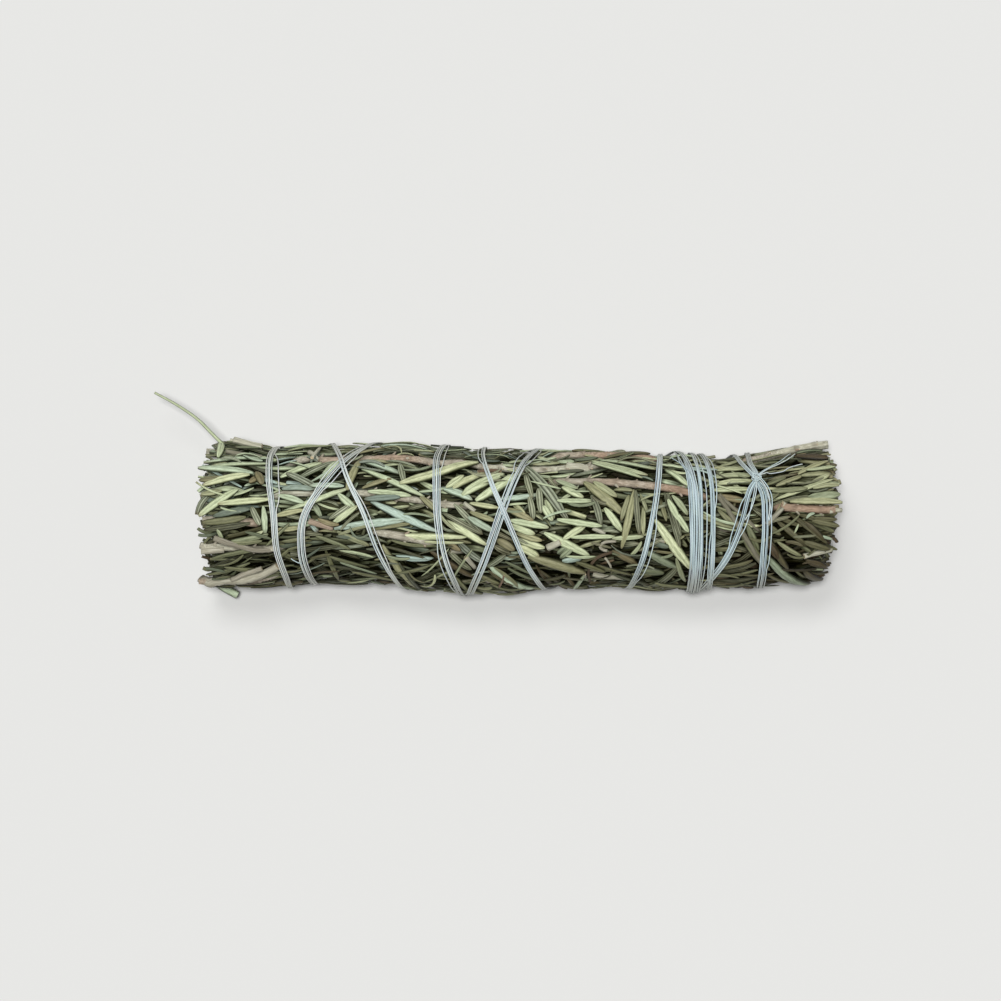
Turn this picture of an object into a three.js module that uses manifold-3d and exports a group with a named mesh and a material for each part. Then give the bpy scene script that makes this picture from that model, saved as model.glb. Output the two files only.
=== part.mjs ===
// A rosemary smudge stick lying on a table: leafy rosemary stems laid side by side, trimmed
// at both ends and bound with one cotton thread. All sizes are in millimetres.
// X runs along the bundle and Z is up. Angles turn about X, from +Z (0) towards +Y (90).
// The origin is on the table, under the middle of the bundle.
import * as THREE from "three";
import { mergeVertices } from "three/addons/utils/BufferGeometryUtils.js";
import Module from "manifold-3d";

const wasm = await Module();
wasm.setup();

// Driving dimensions of the bundle
const HALF_LENGTH = 89;
const AXIS_HEIGHT = 19.3;
const HALF_HEIGHT = 20;
// Its edges seen from above, towards +Y and towards -Y, at even stations from end to end
const STATION_END = 88;
const EDGE_HIGH = [20.6, 20.2, 20.2, 19.7, 19.2, 18, 17.7, 17, 19.4];
const EDGE_LOW = [-20.7, -20.2, -19.2, -21.4, -22, -21, -21, -20.8, -17.8];
const LUMP_HEIGHT = 0.35;
const WAIST_DEPTH = 0.9;
const WAIST_DEPTH_BELOW = 2.1;
const WAIST_REACH = 6.5;

// Thickness of what is packed in the bundle, counted inwards from its outline
const CLEARANCE = 0.3;
const LEAF_LENGTH = 17;
const LEAF_HALF_WIDTH = 1.25;
const LEAF_THICKNESS = 0.95;
const LEAF_DEPTHS = [LEAF_THICKNESS, 2 * LEAF_THICKNESS + CLEARANCE, 3.6];
const STEM_RADIUS = 1.3;
const STEM_DEPTH_BARE = STEM_RADIUS + 0.05;
const STEM_DEPTH_LEAFY = 3.9;
const STEM_RISE = 7;
const NODE_SPACING = 14.2;
const LEAF_TRIES = 10;
const MASS_DEPTH = 5;
const MASS_FLOOR_DEPTH = 6.9;
const CORE_DEPTH = 7.3;
const CORE_HALF_LENGTH = 84;
const CORE_SEGMENTS = 10;
const HEART_RADIUS = 3.1;
const HEART_STEM_RADIUS = 1.5;
const INNER_STEM_AT = 8.4;
const END_LEAVES = 3;
const END_LEAF_ANGLE = 19;
const END_LEAF_AT = [10.2, 6.4];
const LEAF_SPREAD = [34, 6];
const SHORTEST_LEAF = 6;

// The leafy stems that show: their angle round the bundle at five stations from end to end,
// which way they grow, where they lie bare on the outside, and where they are cut
const OUTER_SPRIGS = [
  { angles: [80, 82, 77, 76, 80], grows: -1, bare: [[-90, -80], [12, 36], [64, 90]], from: -86, to: 88 },
  { angles: [48, 56, 52, 51, 46], grows: 1, bare: [[-60, -49], [-42, 22]], from: -85, to: 80 },
  { angles: [31, 37, 38, 28, 6], grows: -1, bare: [[12, 48], [74, 92]], from: -80, to: 90.2 },
  { angles: [15, 18, 6, -4, -20], grows: 1, bare: [[-66, -59], [-43, -18]], from: -88, to: 80 },
  { angles: [-4, -15, -30, -36, -46], grows: 1, bare: [[-89, -76], [-38, -26]], from: -90.5, to: 82 },
  { angles: [-26, -40, -54, -62, -72], grows: 1, bare: [[-86, -69]], from: -88.5, to: 76 },
  { angles: [-70, -66, -84, -90, -98], grows: -1, bare: [[-90, -70]], from: -89.5, to: 72 },
  { angles: [-102, -104, -116, -120, -126], grows: 1, bare: [[-88, -66]], from: -88, to: 78 },
  { angles: [-136, -140, -148, -152, -156], grows: -1, bare: [[66, 88]], from: -80, to: 88 },
  { angles: [-172, -176, -184, -186, -188], grows: 1, bare: [[-90, -76], [-24, 24]], from: -89, to: 80 },
  { angles: [-208, -210, -214, -218, -222], grows: -1, bare: [[60, 90]], from: -82, to: 89 },
  { angles: [-244, -244, -248, -250, -252], grows: 1, bare: [[-89, -60]], from: -88, to: 80 },
];
const INNER_SPRIGS = 5;
const TWIST_PER_MM = -0.2;

// Where the thread crosses the front of the bundle, in winding order: its X at PASS_ANGLES,
// from the edge towards +Y, over the front, to the edge towards -Y. A pass that starts or
// ends at the knot has only the angles on its side of the knot.
const PASS_ANGLES = [90, 60, 30, 0, -30, -60, -90];
const THREAD_PASSES = [
  [null, null, 67.1, 68.2, 67.8, 67.3, 67.1],
  [63.6, 64.1],
  [null, null, 64.5, 61.5, 57.5, 52.8, 49.7],
  [50.8, 52.4, 53.8, 54, 53.7, 52.8, 52.2],
  [47.7, 49.1, 51, 51.5, 51.2, 50.5, 50],
  [44.6, 45.7, 46.9, 47.3, 47.1, 46.4, 45.8],
  [39.3, 38.6, 37.6, 36.1, 33.9, 31.2, 29.3],
  [4.6, 0.7, -2.8, -6.6, -10.1, -13.4, -15.8],
  [-38.2, -44.9, -51.7, -58.9, -61, -58.7, -56.4],
  [-67.3, -68.6, -70.3, -69.3, -67.8, -65.5, -64],
  [-53.3, -52.5, -48.6, -44.4, -40.2, -34.9, -31.2],
  [-20.6, -23.4, -23.7, -23.2, -21.6, -18.6, -15.5],
  [-9.7, -10.2, -7.8, -3.5, 1, 5.2, 8.5],
  [42.7, 46.9, 49, 49.4, 49.2, 48.5, 47.9],
  [59.7, 61.7],
];
const KNOT = { x: 65.8, angle: 38 };
const KNOT_SIZE = [1.7, 1.3, 1.5];
const THREAD_WIDTH = 1.7;
const THREAD_THICKNESS = 0.6;
const THREAD_GAP = 0.55;
const THREAD_STEP = 22;
const TAIL_WIDTH = 0.9;
// The loose ends at the knot, as X, angle and height above the bundle
const THREAD_TAILS = [
  [[65.8, 38, 0.9], [71.5, 45, 0.5], [76.5, 55, 0.5]],
  [[65.8, 38, 0.9], [72, 41, 0.5], [79, 48, 0.5]],
  [[65.8, 38, 0.9], [69.5, 32, 0.6], [70.9, 18, 0.5], [69.8, 3, 0.5]],
];

// The thin curved stalk that stands away from the bundle at its left end
const STALK_ROOT_X = -82.5;
const STALK_ROUTE = [[-84.8, 21.6, 23.4], [-90, 27, 23.6], [-96, 31, 23.2], [-102, 34.2, 22.6]];
const STALK_RADII = [0.7, 0.42];

const GREENS = [0x8f9468, 0x7c8258, 0x9a9c74, 0x868a62];
const INNER_GREEN = 0x5d6042;
const THREAD_COLOUR = 0xb9c4ca;
const RANDOM_SEED = 43;

// Repeatable random numbers from 0 to 1
function randomSource(seed) {
  let state = seed;
  return () => {
    state = (Math.imul(state, 1664525) + 1013904223) >>> 0;
    return state / 4294967296;
  };
}

const radians = THREE.MathUtils.degToRad;

// The value at x of a smooth line through values at even stations from end to end
function along(values, x) {
  const last = values.length - 1;
  const share = THREE.MathUtils.clamp((x + STATION_END) / (2 * STATION_END), 0, 1) * last;
  const i = Math.min(Math.floor(share), last - 1);
  const t = share - i;
  const at = (k) => values[THREE.MathUtils.clamp(k, 0, last)];
  const [a, b, c, d] = [at(i - 1), at(i), at(i + 1), at(i + 2)];
  return b + 0.5 * t * (c - a + t * (2 * a - 5 * b + 4 * c - d + t * (3 * (b - c) + d - a)));
}

// The winding order turned into one route: total angle wound and X, at every given angle
function threadStations() {
  const stations = [];
  let turn = 0;
  for (const pass of THREAD_PASSES) {
    if (pass[0] !== null) turn += 1;
    const knot = { wound: KNOT.angle - 360 * turn, x: KNOT.x };
    if (pass[0] === null) stations.push(knot);
    pass.forEach((x, k) => {
      if (x !== null) stations.push({ wound: PASS_ANGLES[k] - 360 * turn, x });
    });
    if (pass.length < PASS_ANGLES.length) stations.push(knot);
  }
  return stations.filter((p, i) => i === 0 || p.wound < stations[i - 1].wound);
}

// Even steps of winding along the route, with X running smoothly between its stations
function threadRoute() {
  const stations = threadStations();
  const last = stations.length - 1;
  const slope = (i) => {
    const [a, b] = [stations[Math.max(i - 1, 0)], stations[Math.min(i + 1, last)]];
    return (b.x - a.x) / (b.wound - a.wound);
  };
  const steps = Math.round((stations[0].wound - stations[last].wound) / THREAD_STEP);
  const route = [];
  for (let k = 0; k <= steps; k++) {
    const angle = THREE.MathUtils.lerp(stations[0].wound, stations[last].wound, k / steps);
    const i = Math.max(1, stations.findIndex((p) => p.wound <= angle + 1e-6));
    const [a, b] = [stations[i - 1], stations[i]];
    const span = b.wound - a.wound;
    const t = (angle - a.wound) / span;
    const x =
      a.x * (1 + 2 * t) * (1 - t) ** 2 +
      slope(i - 1) * span * t * (1 - t) ** 2 +
      b.x * t * t * (3 - 2 * t) +
      slope(i) * span * t * t * (t - 1);
    route.push({ angle, x });
  }
  return route;
}

const THREAD_ROUTE = threadRoute();
const MEAN_RADIUS = 19.8;

// How far the place at x and angle is from the nearest thread, along the surface
function threadDistance(x, angle) {
  let nearest = Infinity;
  for (const p of THREAD_ROUTE) {
    const turned = THREE.MathUtils.euclideanModulo(angle - p.angle + 180, 360) - 180;
    nearest = Math.min(nearest, Math.hypot(x - p.x, radians(turned) * MEAN_RADIUS));
  }
  return nearest;
}

function axisY(x) {
  return (along(EDGE_HIGH, x) + along(EDGE_LOW, x)) / 2;
}

// Radius of the plain oval that the bundle's section nearly fills
function oval(x, angle) {
  const halfWidth = (along(EDGE_HIGH, x) - along(EDGE_LOW, x)) / 2;
  const a = radians(angle);
  return (halfWidth * HALF_HEIGHT) / Math.hypot(HALF_HEIGHT * Math.sin(a), halfWidth * Math.cos(a));
}

// Radius of the bundle's outline, which is lumpy and is drawn in under the thread
function outline(x, angle) {
  const a = radians(angle);
  const lumps = Math.sin(x / 9 + 3 * a + 1.3) + Math.sin(x / 14 - 2 * a + 0.4);
  const below = Math.max(0, -Math.cos(a)) ** 3;
  const waist = THREE.MathUtils.lerp(WAIST_DEPTH, WAIST_DEPTH_BELOW, below);
  const drawn = waist * Math.exp(-((threadDistance(x, angle) / WAIST_REACH) ** 2));
  return oval(x, angle) + LUMP_HEIGHT * lumps * (1 - below) - drawn;
}

function atRadius(x, angle, radius) {
  const a = radians(angle);
  return new THREE.Vector3(x, axisY(x) + radius * Math.sin(a), AXIS_HEIGHT + radius * Math.cos(a));
}

// The point at x and angle, a depth inside the outline
function inBundle(x, angle, depth) {
  return atRadius(x, angle, outline(x, angle) - depth);
}

// A closed solid from a closed three.js geometry. A shape that its placing has mirrored is
// turned the right way out again.
function solidOf(geometry) {
  geometry.deleteAttribute("normal");
  geometry.deleteAttribute("uv");
  const merged = mergeVertices(geometry, 1e-4);
  const vertProperties = merged.getAttribute("position").array;
  const triVerts = new Uint32Array(merged.index.array);
  const solid = new wasm.Manifold(new wasm.Mesh({ numProp: 3, vertProperties, triVerts }));
  if (solid.volume() > 0) return solid;
  const turned = new Uint32Array(triVerts).reverse();
  return new wasm.Manifold(new wasm.Mesh({ numProp: 3, vertProperties, triVerts: turned }));
}

// A solid made from a unit cylinder by moving its points: place(t, across, up) gives the point
// at the share t of its length, at that place in its round section
function shaped(sides, segments, place) {
  const geometry = new THREE.CylinderGeometry(1, 1, 1, sides, segments);
  const position = geometry.getAttribute("position");
  for (let i = 0; i < position.count; i++) {
    const p = place(position.getY(i) + 0.5, position.getX(i), position.getZ(i));
    position.setXYZ(i, p.x, p.y, p.z);
  }
  return solidOf(geometry);
}

// A tube through points, whose section is sizeAt(t) wide across the surface and high above it
function tube(points, sides, sizeAt, outwardAt) {
  const segments = points.length - 1;
  const frames = points.map((p, i) => {
    const ahead = points[Math.min(i + 1, segments)];
    const behind = points[Math.max(i - 1, 0)];
    const forward = ahead.clone().sub(behind).normalize();
    const outward = outwardAt(i).addScaledVector(forward, -outwardAt(i).dot(forward)).normalize();
    return { across: forward.clone().cross(outward), outward };
  });
  return shaped(sides, segments, (t, across, up) => {
    const i = Math.round(t * segments);
    const [halfWidth, halfHeight] = sizeAt(t);
    return points[i]
      .clone()
      .addScaledVector(frames[i].across, across * halfWidth)
      .addScaledVector(frames[i].outward, up * halfHeight);
  });
}

function outwardFromAxis(p) {
  return new THREE.Vector3(0, p.y - axisY(p.x), p.z - AXIS_HEIGHT).normalize();
}

// One rosemary leaf: flat below, with a raised back, widest along its middle and blunt at its
// tip. It rises from the stem to its own depth within LEAF_RISE of its length.
const LEAF_SHARES = [0, 0.17, 0.8, 1];
const LEAF_WIDTHS = [0.5, 1, 0.92, 0.35];
function leafSolid(leaf, spare = 0) {
  const length = leaf.length + spare;
  const heading = radians(leaf.heading);
  return shaped(3, 3, (t, across, up) => {
    const ring = Math.round(t * 3);
    const s = LEAF_SHARES[ring] * length;
    const side = across * (LEAF_HALF_WIDTH * LEAF_WIDTHS[ring] + spare);
    const atEnd = leaf.trimmed && ring === 3 ? side / LEAF_WIDTHS[3] : side;
    const x = leaf.x + leaf.grows * (s * Math.cos(heading) - atEnd * Math.sin(heading));
    const arc = s * Math.sin(heading) + atEnd * Math.cos(heading);
    const depth = (ring === 0 ? leaf.rootDepth : leaf.depth) + spare;
    const raised = ((up + 0.5) / 1.5) * (LEAF_THICKNESS + 2 * spare);
    return inBundle(x, leaf.angle + THREE.MathUtils.radToDeg(arc / MEAN_RADIUS), depth - raised);
  });
}

function isBare(sprig, x, margin = 0) {
  return sprig.bare.some(([a, b]) => x > a - margin && x < b + margin);
}

// How deep a stem's middle lies: on the outside where it is bare, under its leaves elsewhere
function stemDepth(sprig, x) {
  const away = Math.min(...sprig.bare.map(([a, b]) => Math.max(a - x, x - b, 0)));
  return THREE.MathUtils.lerp(STEM_DEPTH_BARE, STEM_DEPTH_LEAFY, Math.min(1, away / STEM_RISE));
}

function stemRadius(sprig, x) {
  const butt = sprig.grows > 0 ? sprig.from : sprig.to;
  return STEM_RADIUS * THREE.MathUtils.lerp(1, 0.78, Math.abs(x - butt) / (sprig.to - sprig.from));
}

// Where an outer stem sticks out of the leaves at the cut ends of the bundle
const STUB_ROOT = 5;
function stemStubs(sprig) {
  const ends = [sprig.from, sprig.to].filter((x) => Math.abs(x) > CORE_HALF_LENGTH);
  return ends.map((end) => {
    const root = Math.sign(end) * (CORE_HALF_LENGTH - STUB_ROOT);
    const points = [root, end].map((x) => inBundle(x, along(sprig.angles, x), stemDepth(sprig, x)));
    const radius = stemRadius(sprig, end);
    return tube(points, 5, () => [radius, radius], (i) => outwardFromAxis(points[i]));
  });
}

function keepWithBox(solid) {
  return { solid, box: solid.boundingBox() };
}

function boxesMeet(a, b) {
  return [0, 1, 2].every((k) => a.min[k] < b.max[k] && b.min[k] < a.max[k]);
}

function isClear(solid, others) {
  const box = solid.boundingBox();
  return others.every((other) => !boxesMeet(box, other.box) || solid.intersect(other.solid).isEmpty());
}

// The choices that a leaf is drawn from, in the order in which they are tried
function leafChoice(sprig, x, side, attempt, random) {
  const spread = THREE.MathUtils.lerp(...LEAF_SPREAD, attempt / LEAF_TRIES) + 6 * (random() - 0.5);
  const level = Math.floor(random() * LEAF_DEPTHS.length);
  const length = LEAF_LENGTH * (0.72 + 0.42 * random());
  const room = (HALF_LENGTH + 2.4 * (random() - 0.5) - sprig.grows * x) / Math.cos(radians(spread));
  return {
    x,
    angle: along(sprig.angles, x),
    grows: sprig.grows,
    heading: side * spread,
    length: Math.min(length, room),
    trimmed: room < length,
    rootDepth: stemDepth(sprig, x) + 0.4,
    depth: LEAF_DEPTHS[level],
  };
}

// An outer stem with the leaves pressed flat under it, as one strip between those of its
// neighbours. The stem is the roof along the strip's middle, and rises where it is bare.
const MASS_GAP_DEGREES = 0.9;
const MASS_SEGMENTS = 14;
function stemOnLeaves(i) {
  const sprig = OUTER_SPRIGS[i];
  const count = OUTER_SPRIGS.length;
  const angleOf = (k, x) => along(OUTER_SPRIGS[(k + count) % count].angles, x) - 360 * Math.floor(k / count);
  return shaped(8, MASS_SEGMENTS, (t, across, up) => {
    const x = THREE.MathUtils.lerp(-CORE_HALF_LENGTH, CORE_HALF_LENGTH, t);
    const middle = angleOf(i, x);
    if (across === 0 && up === 0) return atRadius(x, middle, oval(x, middle) - MASS_DEPTH - 0.5);
    const corner = Math.round((Math.atan2(across, up) / Math.PI) * 4);
    const side = Math.sign(corner);
    const edge = (middle + angleOf(side > 0 ? i - 1 : i + 1, x)) / 2;
    const strip = edge - Math.sign(edge - middle) * MASS_GAP_DEGREES;
    const radius = stemRadius(sprig, x);
    const shoulder = middle + side * THREE.MathUtils.radToDeg(radius / MEAN_RADIUS);
    const depth = stemDepth(sprig, x);
    if (corner === 0) return inBundle(x, middle, depth - radius);
    if (Math.abs(corner) === 1) return inBundle(x, shoulder, depth);
    if (Math.abs(corner) === 2) return atRadius(x, strip, oval(x, strip) - MASS_DEPTH);
    const floor = Math.abs(corner) === 3 ? strip : middle;
    return atRadius(x, floor, oval(x, floor) - MASS_FLOOR_DEPTH);
  });
}

// The solids of all the outer sprigs, with each leaf taken only if it is clear of the others
function growOuterSprigs(sprigs, thread, random) {
  const stems = sprigs.map((sprig, i) => [stemOnLeaves(i), ...stemStubs(sprig)].map(keepWithBox));
  const others = (own) => stems.flatMap((kept, i) => (i === own ? [] : kept));
  sprigs.forEach((sprig, own) => {
    for (let x = sprig.from + 4; x < sprig.to - 3; x += NODE_SPACING * (0.85 + 0.3 * random())) {
      if (isBare(sprig, x)) continue;
      for (const side of [1, -1]) {
        for (let attempt = 0; attempt < LEAF_TRIES; attempt++) {
          const leaf = leafChoice(sprig, x, side, attempt, random);
          if (leaf.length < SHORTEST_LEAF) break;
          if (!isClear(leafSolid(leaf, CLEARANCE / 2), [...others(own), thread])) continue;
          stems[own].push(keepWithBox(leafSolid(leaf)));
          break;
        }
      }
    }
  });
  return stems.map((kept) => kept.map((k) => k.solid));
}

// The mass of leaves pressed round an inner stem, which is a wedge of the bundle
const WEDGE_GAP_DEGREES = 2.2;
const WEDGE_INNER_RADIUS = HEART_RADIUS + 1;
function innerCore(centre) {
  const half = 180 / INNER_SPRIGS - WEDGE_GAP_DEGREES;
  return shaped(8, CORE_SEGMENTS, (t, across, up) => {
    const x = THREE.MathUtils.lerp(-CORE_HALF_LENGTH, CORE_HALF_LENGTH, t);
    const middle = centre + TWIST_PER_MM * x;
    if (across === 0 && up === 0) return atRadius(x, middle, INNER_STEM_AT);
    const corner = Math.round((Math.atan2(across, up) / Math.PI) * 4);
    const outside = Math.abs(corner) <= 2;
    const share = outside ? corner / 2 : Math.sign(corner) * (4 - Math.abs(corner)) * 0.45;
    const angle = middle + share * half;
    return atRadius(x, angle, outside ? oval(x, angle) - CORE_DEPTH : WEDGE_INNER_RADIUS);
  });
}

// The stem of an inner sprig and the leaves that show at the ends of the bundle
function innerSprig(centre, random) {
  const reach = HALF_LENGTH - 1 + 2.5 * random();
  const points = [-reach, 0, reach].map((x) => atRadius(x, centre + TWIST_PER_MM * x, INNER_STEM_AT));
  const stem = tube(points, 6, () => [STEM_RADIUS, STEM_RADIUS], (i) => outwardFromAxis(points[i]));
  const parts = [innerCore(centre), stem];
  for (const end of [-1, 1]) {
    for (let k = 0; k < END_LEAVES; k++) {
      const x = end * (CORE_HALF_LENGTH - 3 - 3 * random());
      const angle = centre + TWIST_PER_MM * x + (k - (END_LEAVES - 1) / 2) * END_LEAF_ANGLE;
      const depth = outline(x, angle) - END_LEAF_AT[k % 2] - 0.6 * random();
      const length = HALF_LENGTH - Math.abs(x) + 1.5 * random();
      const placed = { x, angle, grows: end, heading: 0, rootDepth: depth, depth };
      parts.push(leafSolid({ ...placed, length, trimmed: k % 3 === 0 }));
    }
  }
  return parts;
}

// The middle sprig, pressed round by all the others
function heartSprig(random) {
  const core = shaped(6, 5, (t, across, up) => {
    const x = THREE.MathUtils.lerp(-CORE_HALF_LENGTH, CORE_HALF_LENGTH, t);
    return new THREE.Vector3(x, axisY(x) + HEART_RADIUS * across, AXIS_HEIGHT + HEART_RADIUS * up);
  });
  const stem = shaped(5, 5, (t, across, up) => {
    const x = THREE.MathUtils.lerp(-HALF_LENGTH - 1, HALF_LENGTH - 2, t);
    return new THREE.Vector3(x, axisY(x) + HEART_STEM_RADIUS * across, AXIS_HEIGHT + HEART_STEM_RADIUS * up);
  });
  const leaves = [-1, 1].flatMap((end) =>
    [0, 90, 180, 270].map((angle) => {
      const x = end * (CORE_HALF_LENGTH - 4);
      const depth = outline(x, angle) - 2.2;
      const length = HALF_LENGTH - Math.abs(x) + 2 * random();
      return leafSolid({ x, angle, grows: end, heading: 0, length, trimmed: false, rootDepth: depth, depth });
    }),
  );
  return [core, stem, ...leaves];
}

// The binding: pieces of one turn each, which lap, with the knot and its loose ends
function threadSolid(spare = 0) {
  const height = THREAD_GAP + THREAD_THICKNESS / 3;
  const pieces = [];
  const turn = Math.round(360 / THREAD_STEP);
  for (let start = 0; start + 1 < THREAD_ROUTE.length; start += turn) {
    const part = THREAD_ROUTE.slice(start, start + turn + 1);
    const points = part.map((p) => inBundle(p.x, p.angle, -height));
    const lap = 1 + 0.04 * (pieces.length % 2);
    const size = () => [(THREAD_WIDTH / 1.73) * lap + spare, (THREAD_THICKNESS / 1.5) * lap + spare];
    pieces.push(tube(points, 3, size, (i) => outwardFromAxis(points[i])));
  }
  for (const tail of THREAD_TAILS) {
    const route = tail.map(([x, angle, above]) => inBundle(x, angle, -above - THREAD_THICKNESS / 2));
    const points = new THREE.CatmullRomCurve3(route).getPoints(5);
    const size = () => [TAIL_WIDTH / 2 + spare, THREAD_THICKNESS / 2 + spare];
    pieces.push(tube(points, 4, size, (i) => outwardFromAxis(points[i])));
  }
  const knot = new THREE.IcosahedronGeometry(1, 1);
  knot.scale(KNOT_SIZE[0] + spare, KNOT_SIZE[1] + spare, KNOT_SIZE[2] + spare);
  knot.rotateX(-radians(KNOT.angle));
  const at = inBundle(KNOT.x, KNOT.angle, -CLEARANCE - KNOT_SIZE[2]);
  knot.translate(at.x, at.y, at.z);
  pieces.push(solidOf(knot));
  return wasm.Manifold.union(pieces).simplify(SLIVER);
}

function stalkSolid() {
  const [bearer] = OUTER_SPRIGS;
  const root = inBundle(STALK_ROOT_X, along(bearer.angles, STALK_ROOT_X), stemDepth(bearer, STALK_ROOT_X));
  const route = [root, ...STALK_ROUTE.map((p) => new THREE.Vector3(...p))];
  const points = new THREE.CatmullRomCurve3(route).getPoints(7);
  const size = (t) => {
    const r = THREE.MathUtils.lerp(STALK_RADII[0], STALK_RADII[1], t);
    return [r, r];
  };
  return tube(points, 4, size, () => new THREE.Vector3(0, 0, 1));
}

// All the solids of one piece joined, resting on the table, without any loose scrap and
// without the slivers that joining leaves
const SLIVER = 0.045;
function joined(solids, cutter) {
  const whole = wasm.Manifold.union(solids).subtract(cutter).trimByPlane([0, 0, 1], 0);
  return whole.simplify(SLIVER).decompose().sort((a, b) => b.volume() - a.volume())[0];
}

function meshOf(name, solid, colour, roughness) {
  const { vertProperties, triVerts, numProp, numVert } = solid.getMesh();
  const position = new Float32Array(numVert * 3);
  for (let i = 0; i < numVert; i++) {
    position.set(vertProperties.subarray(i * numProp, i * numProp + 3), i * 3);
  }
  const geometry = new THREE.BufferGeometry();
  geometry.setAttribute("position", new THREE.BufferAttribute(position, 3));
  geometry.setIndex(new THREE.BufferAttribute(triVerts, 1));
  geometry.computeVertexNormals();
  const finish = { color: colour, roughness, metalness: 0, flatShading: true };
  const material = new THREE.MeshStandardMaterial(finish);
  const mesh = new THREE.Mesh(geometry, material);
  mesh.name = name;
  return mesh;
}

const numbered = (name, i) => `${name}_${String(i + 1).padStart(2, "0")}`;

function smudgeStick() {
  const random = randomSource(RANDOM_SEED);
  const group = new THREE.Group();
  const thread = threadSolid();
  const roomForThread = threadSolid(CLEARANCE / 2);
  const outer = growOuterSprigs(OUTER_SPRIGS, keepWithBox(roomForThread), random);
  outer[0].push(stalkSolid());
  outer.forEach((solids, i) => {
    group.add(meshOf(numbered("outer_sprig", i), joined(solids, roomForThread), GREENS[i % 4], 0.8));
  });
  for (let i = 0; i < INNER_SPRIGS; i++) {
    const solids = innerSprig((360 / INNER_SPRIGS) * i, random);
    group.add(meshOf(numbered("inner_sprig", i), joined(solids, roomForThread), INNER_GREEN, 0.9));
  }
  group.add(meshOf("heart_sprig", joined(heartSprig(random), roomForThread), INNER_GREEN, 0.9));
  group.add(meshOf("binding_thread", thread, THREAD_COLOUR, 0.7));
  return group;
}

export default smudgeStick();
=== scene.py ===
import math

import bpy
import numpy as np
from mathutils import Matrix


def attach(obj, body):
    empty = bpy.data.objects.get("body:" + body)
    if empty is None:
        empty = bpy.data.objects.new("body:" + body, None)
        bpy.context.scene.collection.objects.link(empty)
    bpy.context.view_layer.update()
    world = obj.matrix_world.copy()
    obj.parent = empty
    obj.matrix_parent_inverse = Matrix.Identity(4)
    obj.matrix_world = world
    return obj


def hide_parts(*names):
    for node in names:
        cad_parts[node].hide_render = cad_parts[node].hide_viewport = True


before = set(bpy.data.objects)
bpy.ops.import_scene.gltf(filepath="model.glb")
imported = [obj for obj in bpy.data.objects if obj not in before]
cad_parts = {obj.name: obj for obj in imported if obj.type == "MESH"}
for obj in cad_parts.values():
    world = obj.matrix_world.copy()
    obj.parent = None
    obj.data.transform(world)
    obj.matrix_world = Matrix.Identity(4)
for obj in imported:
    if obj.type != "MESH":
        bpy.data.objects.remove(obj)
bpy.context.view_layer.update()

random = np.random.default_rng(7)
MM = 0.001

# Shape of the bundle: its two edges seen from above, at even stations from end to end
STATION_END = 88.0
EDGE_HIGH = [20.6, 20.2, 20.2, 19.7, 19.2, 18, 17.7, 17, 19.4]
EDGE_LOW = [-20.7, -20.2, -19.2, -21.4, -22, -21, -21, -20.8, -17.8]
AXIS_HEIGHT = 19.3
HALF_HEIGHT = 20.0
MEAN_RADIUS = 19.8
TURN = 2 * math.pi * MEAN_RADIUS
LUMP_HEIGHT = 0.35
# How far the thread draws the bundle in, on the front and below, and how far along it
WAIST_DEPTH = 0.9
WAIST_DEPTH_BELOW = 2.1
WAIST_REACH = 6.5
# Distances from the thread are measured as far as the first, and beyond it taken as the second
THREAD_NEAR = 16.0
THREAD_FAR = 99.0
# What lies lower than this over the table is pressed towards it
PRESS_HEIGHT = 0.6
# The leaves pressed inside, by depth under the outline: those of the outer sprigs from core to
# floor, then those of the inner sprigs down to the heart sprig
CORE_DEPTH = 5.0
CORE_FLOOR_DEPTH = 6.9
CORE_HALF_LENGTH = 79.0
INNER_CORE_DEPTH = 7.4
HEART_RADIUS = 3.1
# Angles from the far edge round the front to the near edge
FRONT_ANGLES = [90, 60, 30, 0, -30, -60, -90]
# How far the leaf tips reach at each end, at those angles
LEFT_END = [-84.5, -87, -89.5, -90, -88.5, -87, -86]
RIGHT_END = [84.5, 87, 89.5, 89.5, 87.5, 86, 83.5]

# The surface of the bundle as a grid over X and arc
CELL = 0.4
GRID_END = 97.0
GRID_X = np.arange(-GRID_END, GRID_END + CELL, CELL)
ROWS = int(round(TURN / CELL))
GRID_ARC = np.arange(ROWS) * (TURN / ROWS)

# Woody stems, which taper from butt to tip and rise to the surface where they are bare
STEM_RADIUS = 1.1
STEM_TAPER = 0.24
STEM_DEPTH_BARE = 1.1
STEM_DEPTH_LEAFY = 3.9
STEM_RISE = 7.0
STEM_STEP = 0.6
STEM_SIDES = 12
# No leaf of chance lies within this of the middle of a bare stem
STEM_CLEARANCE = 1.4
# The short stalk that a lost leaf leaves: its radius from root to end
SCAR_RADII = np.array([0.5, 0.36, 0.28, 0.22])
SCAR_SIDES = 6
INNER_STEM_RADIUS = 1.0
INNER_STEM_AT = 8.4

# Narrow leaves in pairs at the stems' nodes. Some stand out wildly, and one that is hidden but
# for a small share is made plainer.
LEAF_LENGTH = 16.5
SHORTEST_LEAF = 4
LEAF_HALF_WIDTH = 0.95
LEAF_THICKNESS = 0.8
NODE_SPACING = 4.0
LEAF_TRIES = 6
SLIVER_TRIES = 900
WILD_SHARE = 0.12
HIDDEN_SHARE = 0.12

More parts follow.
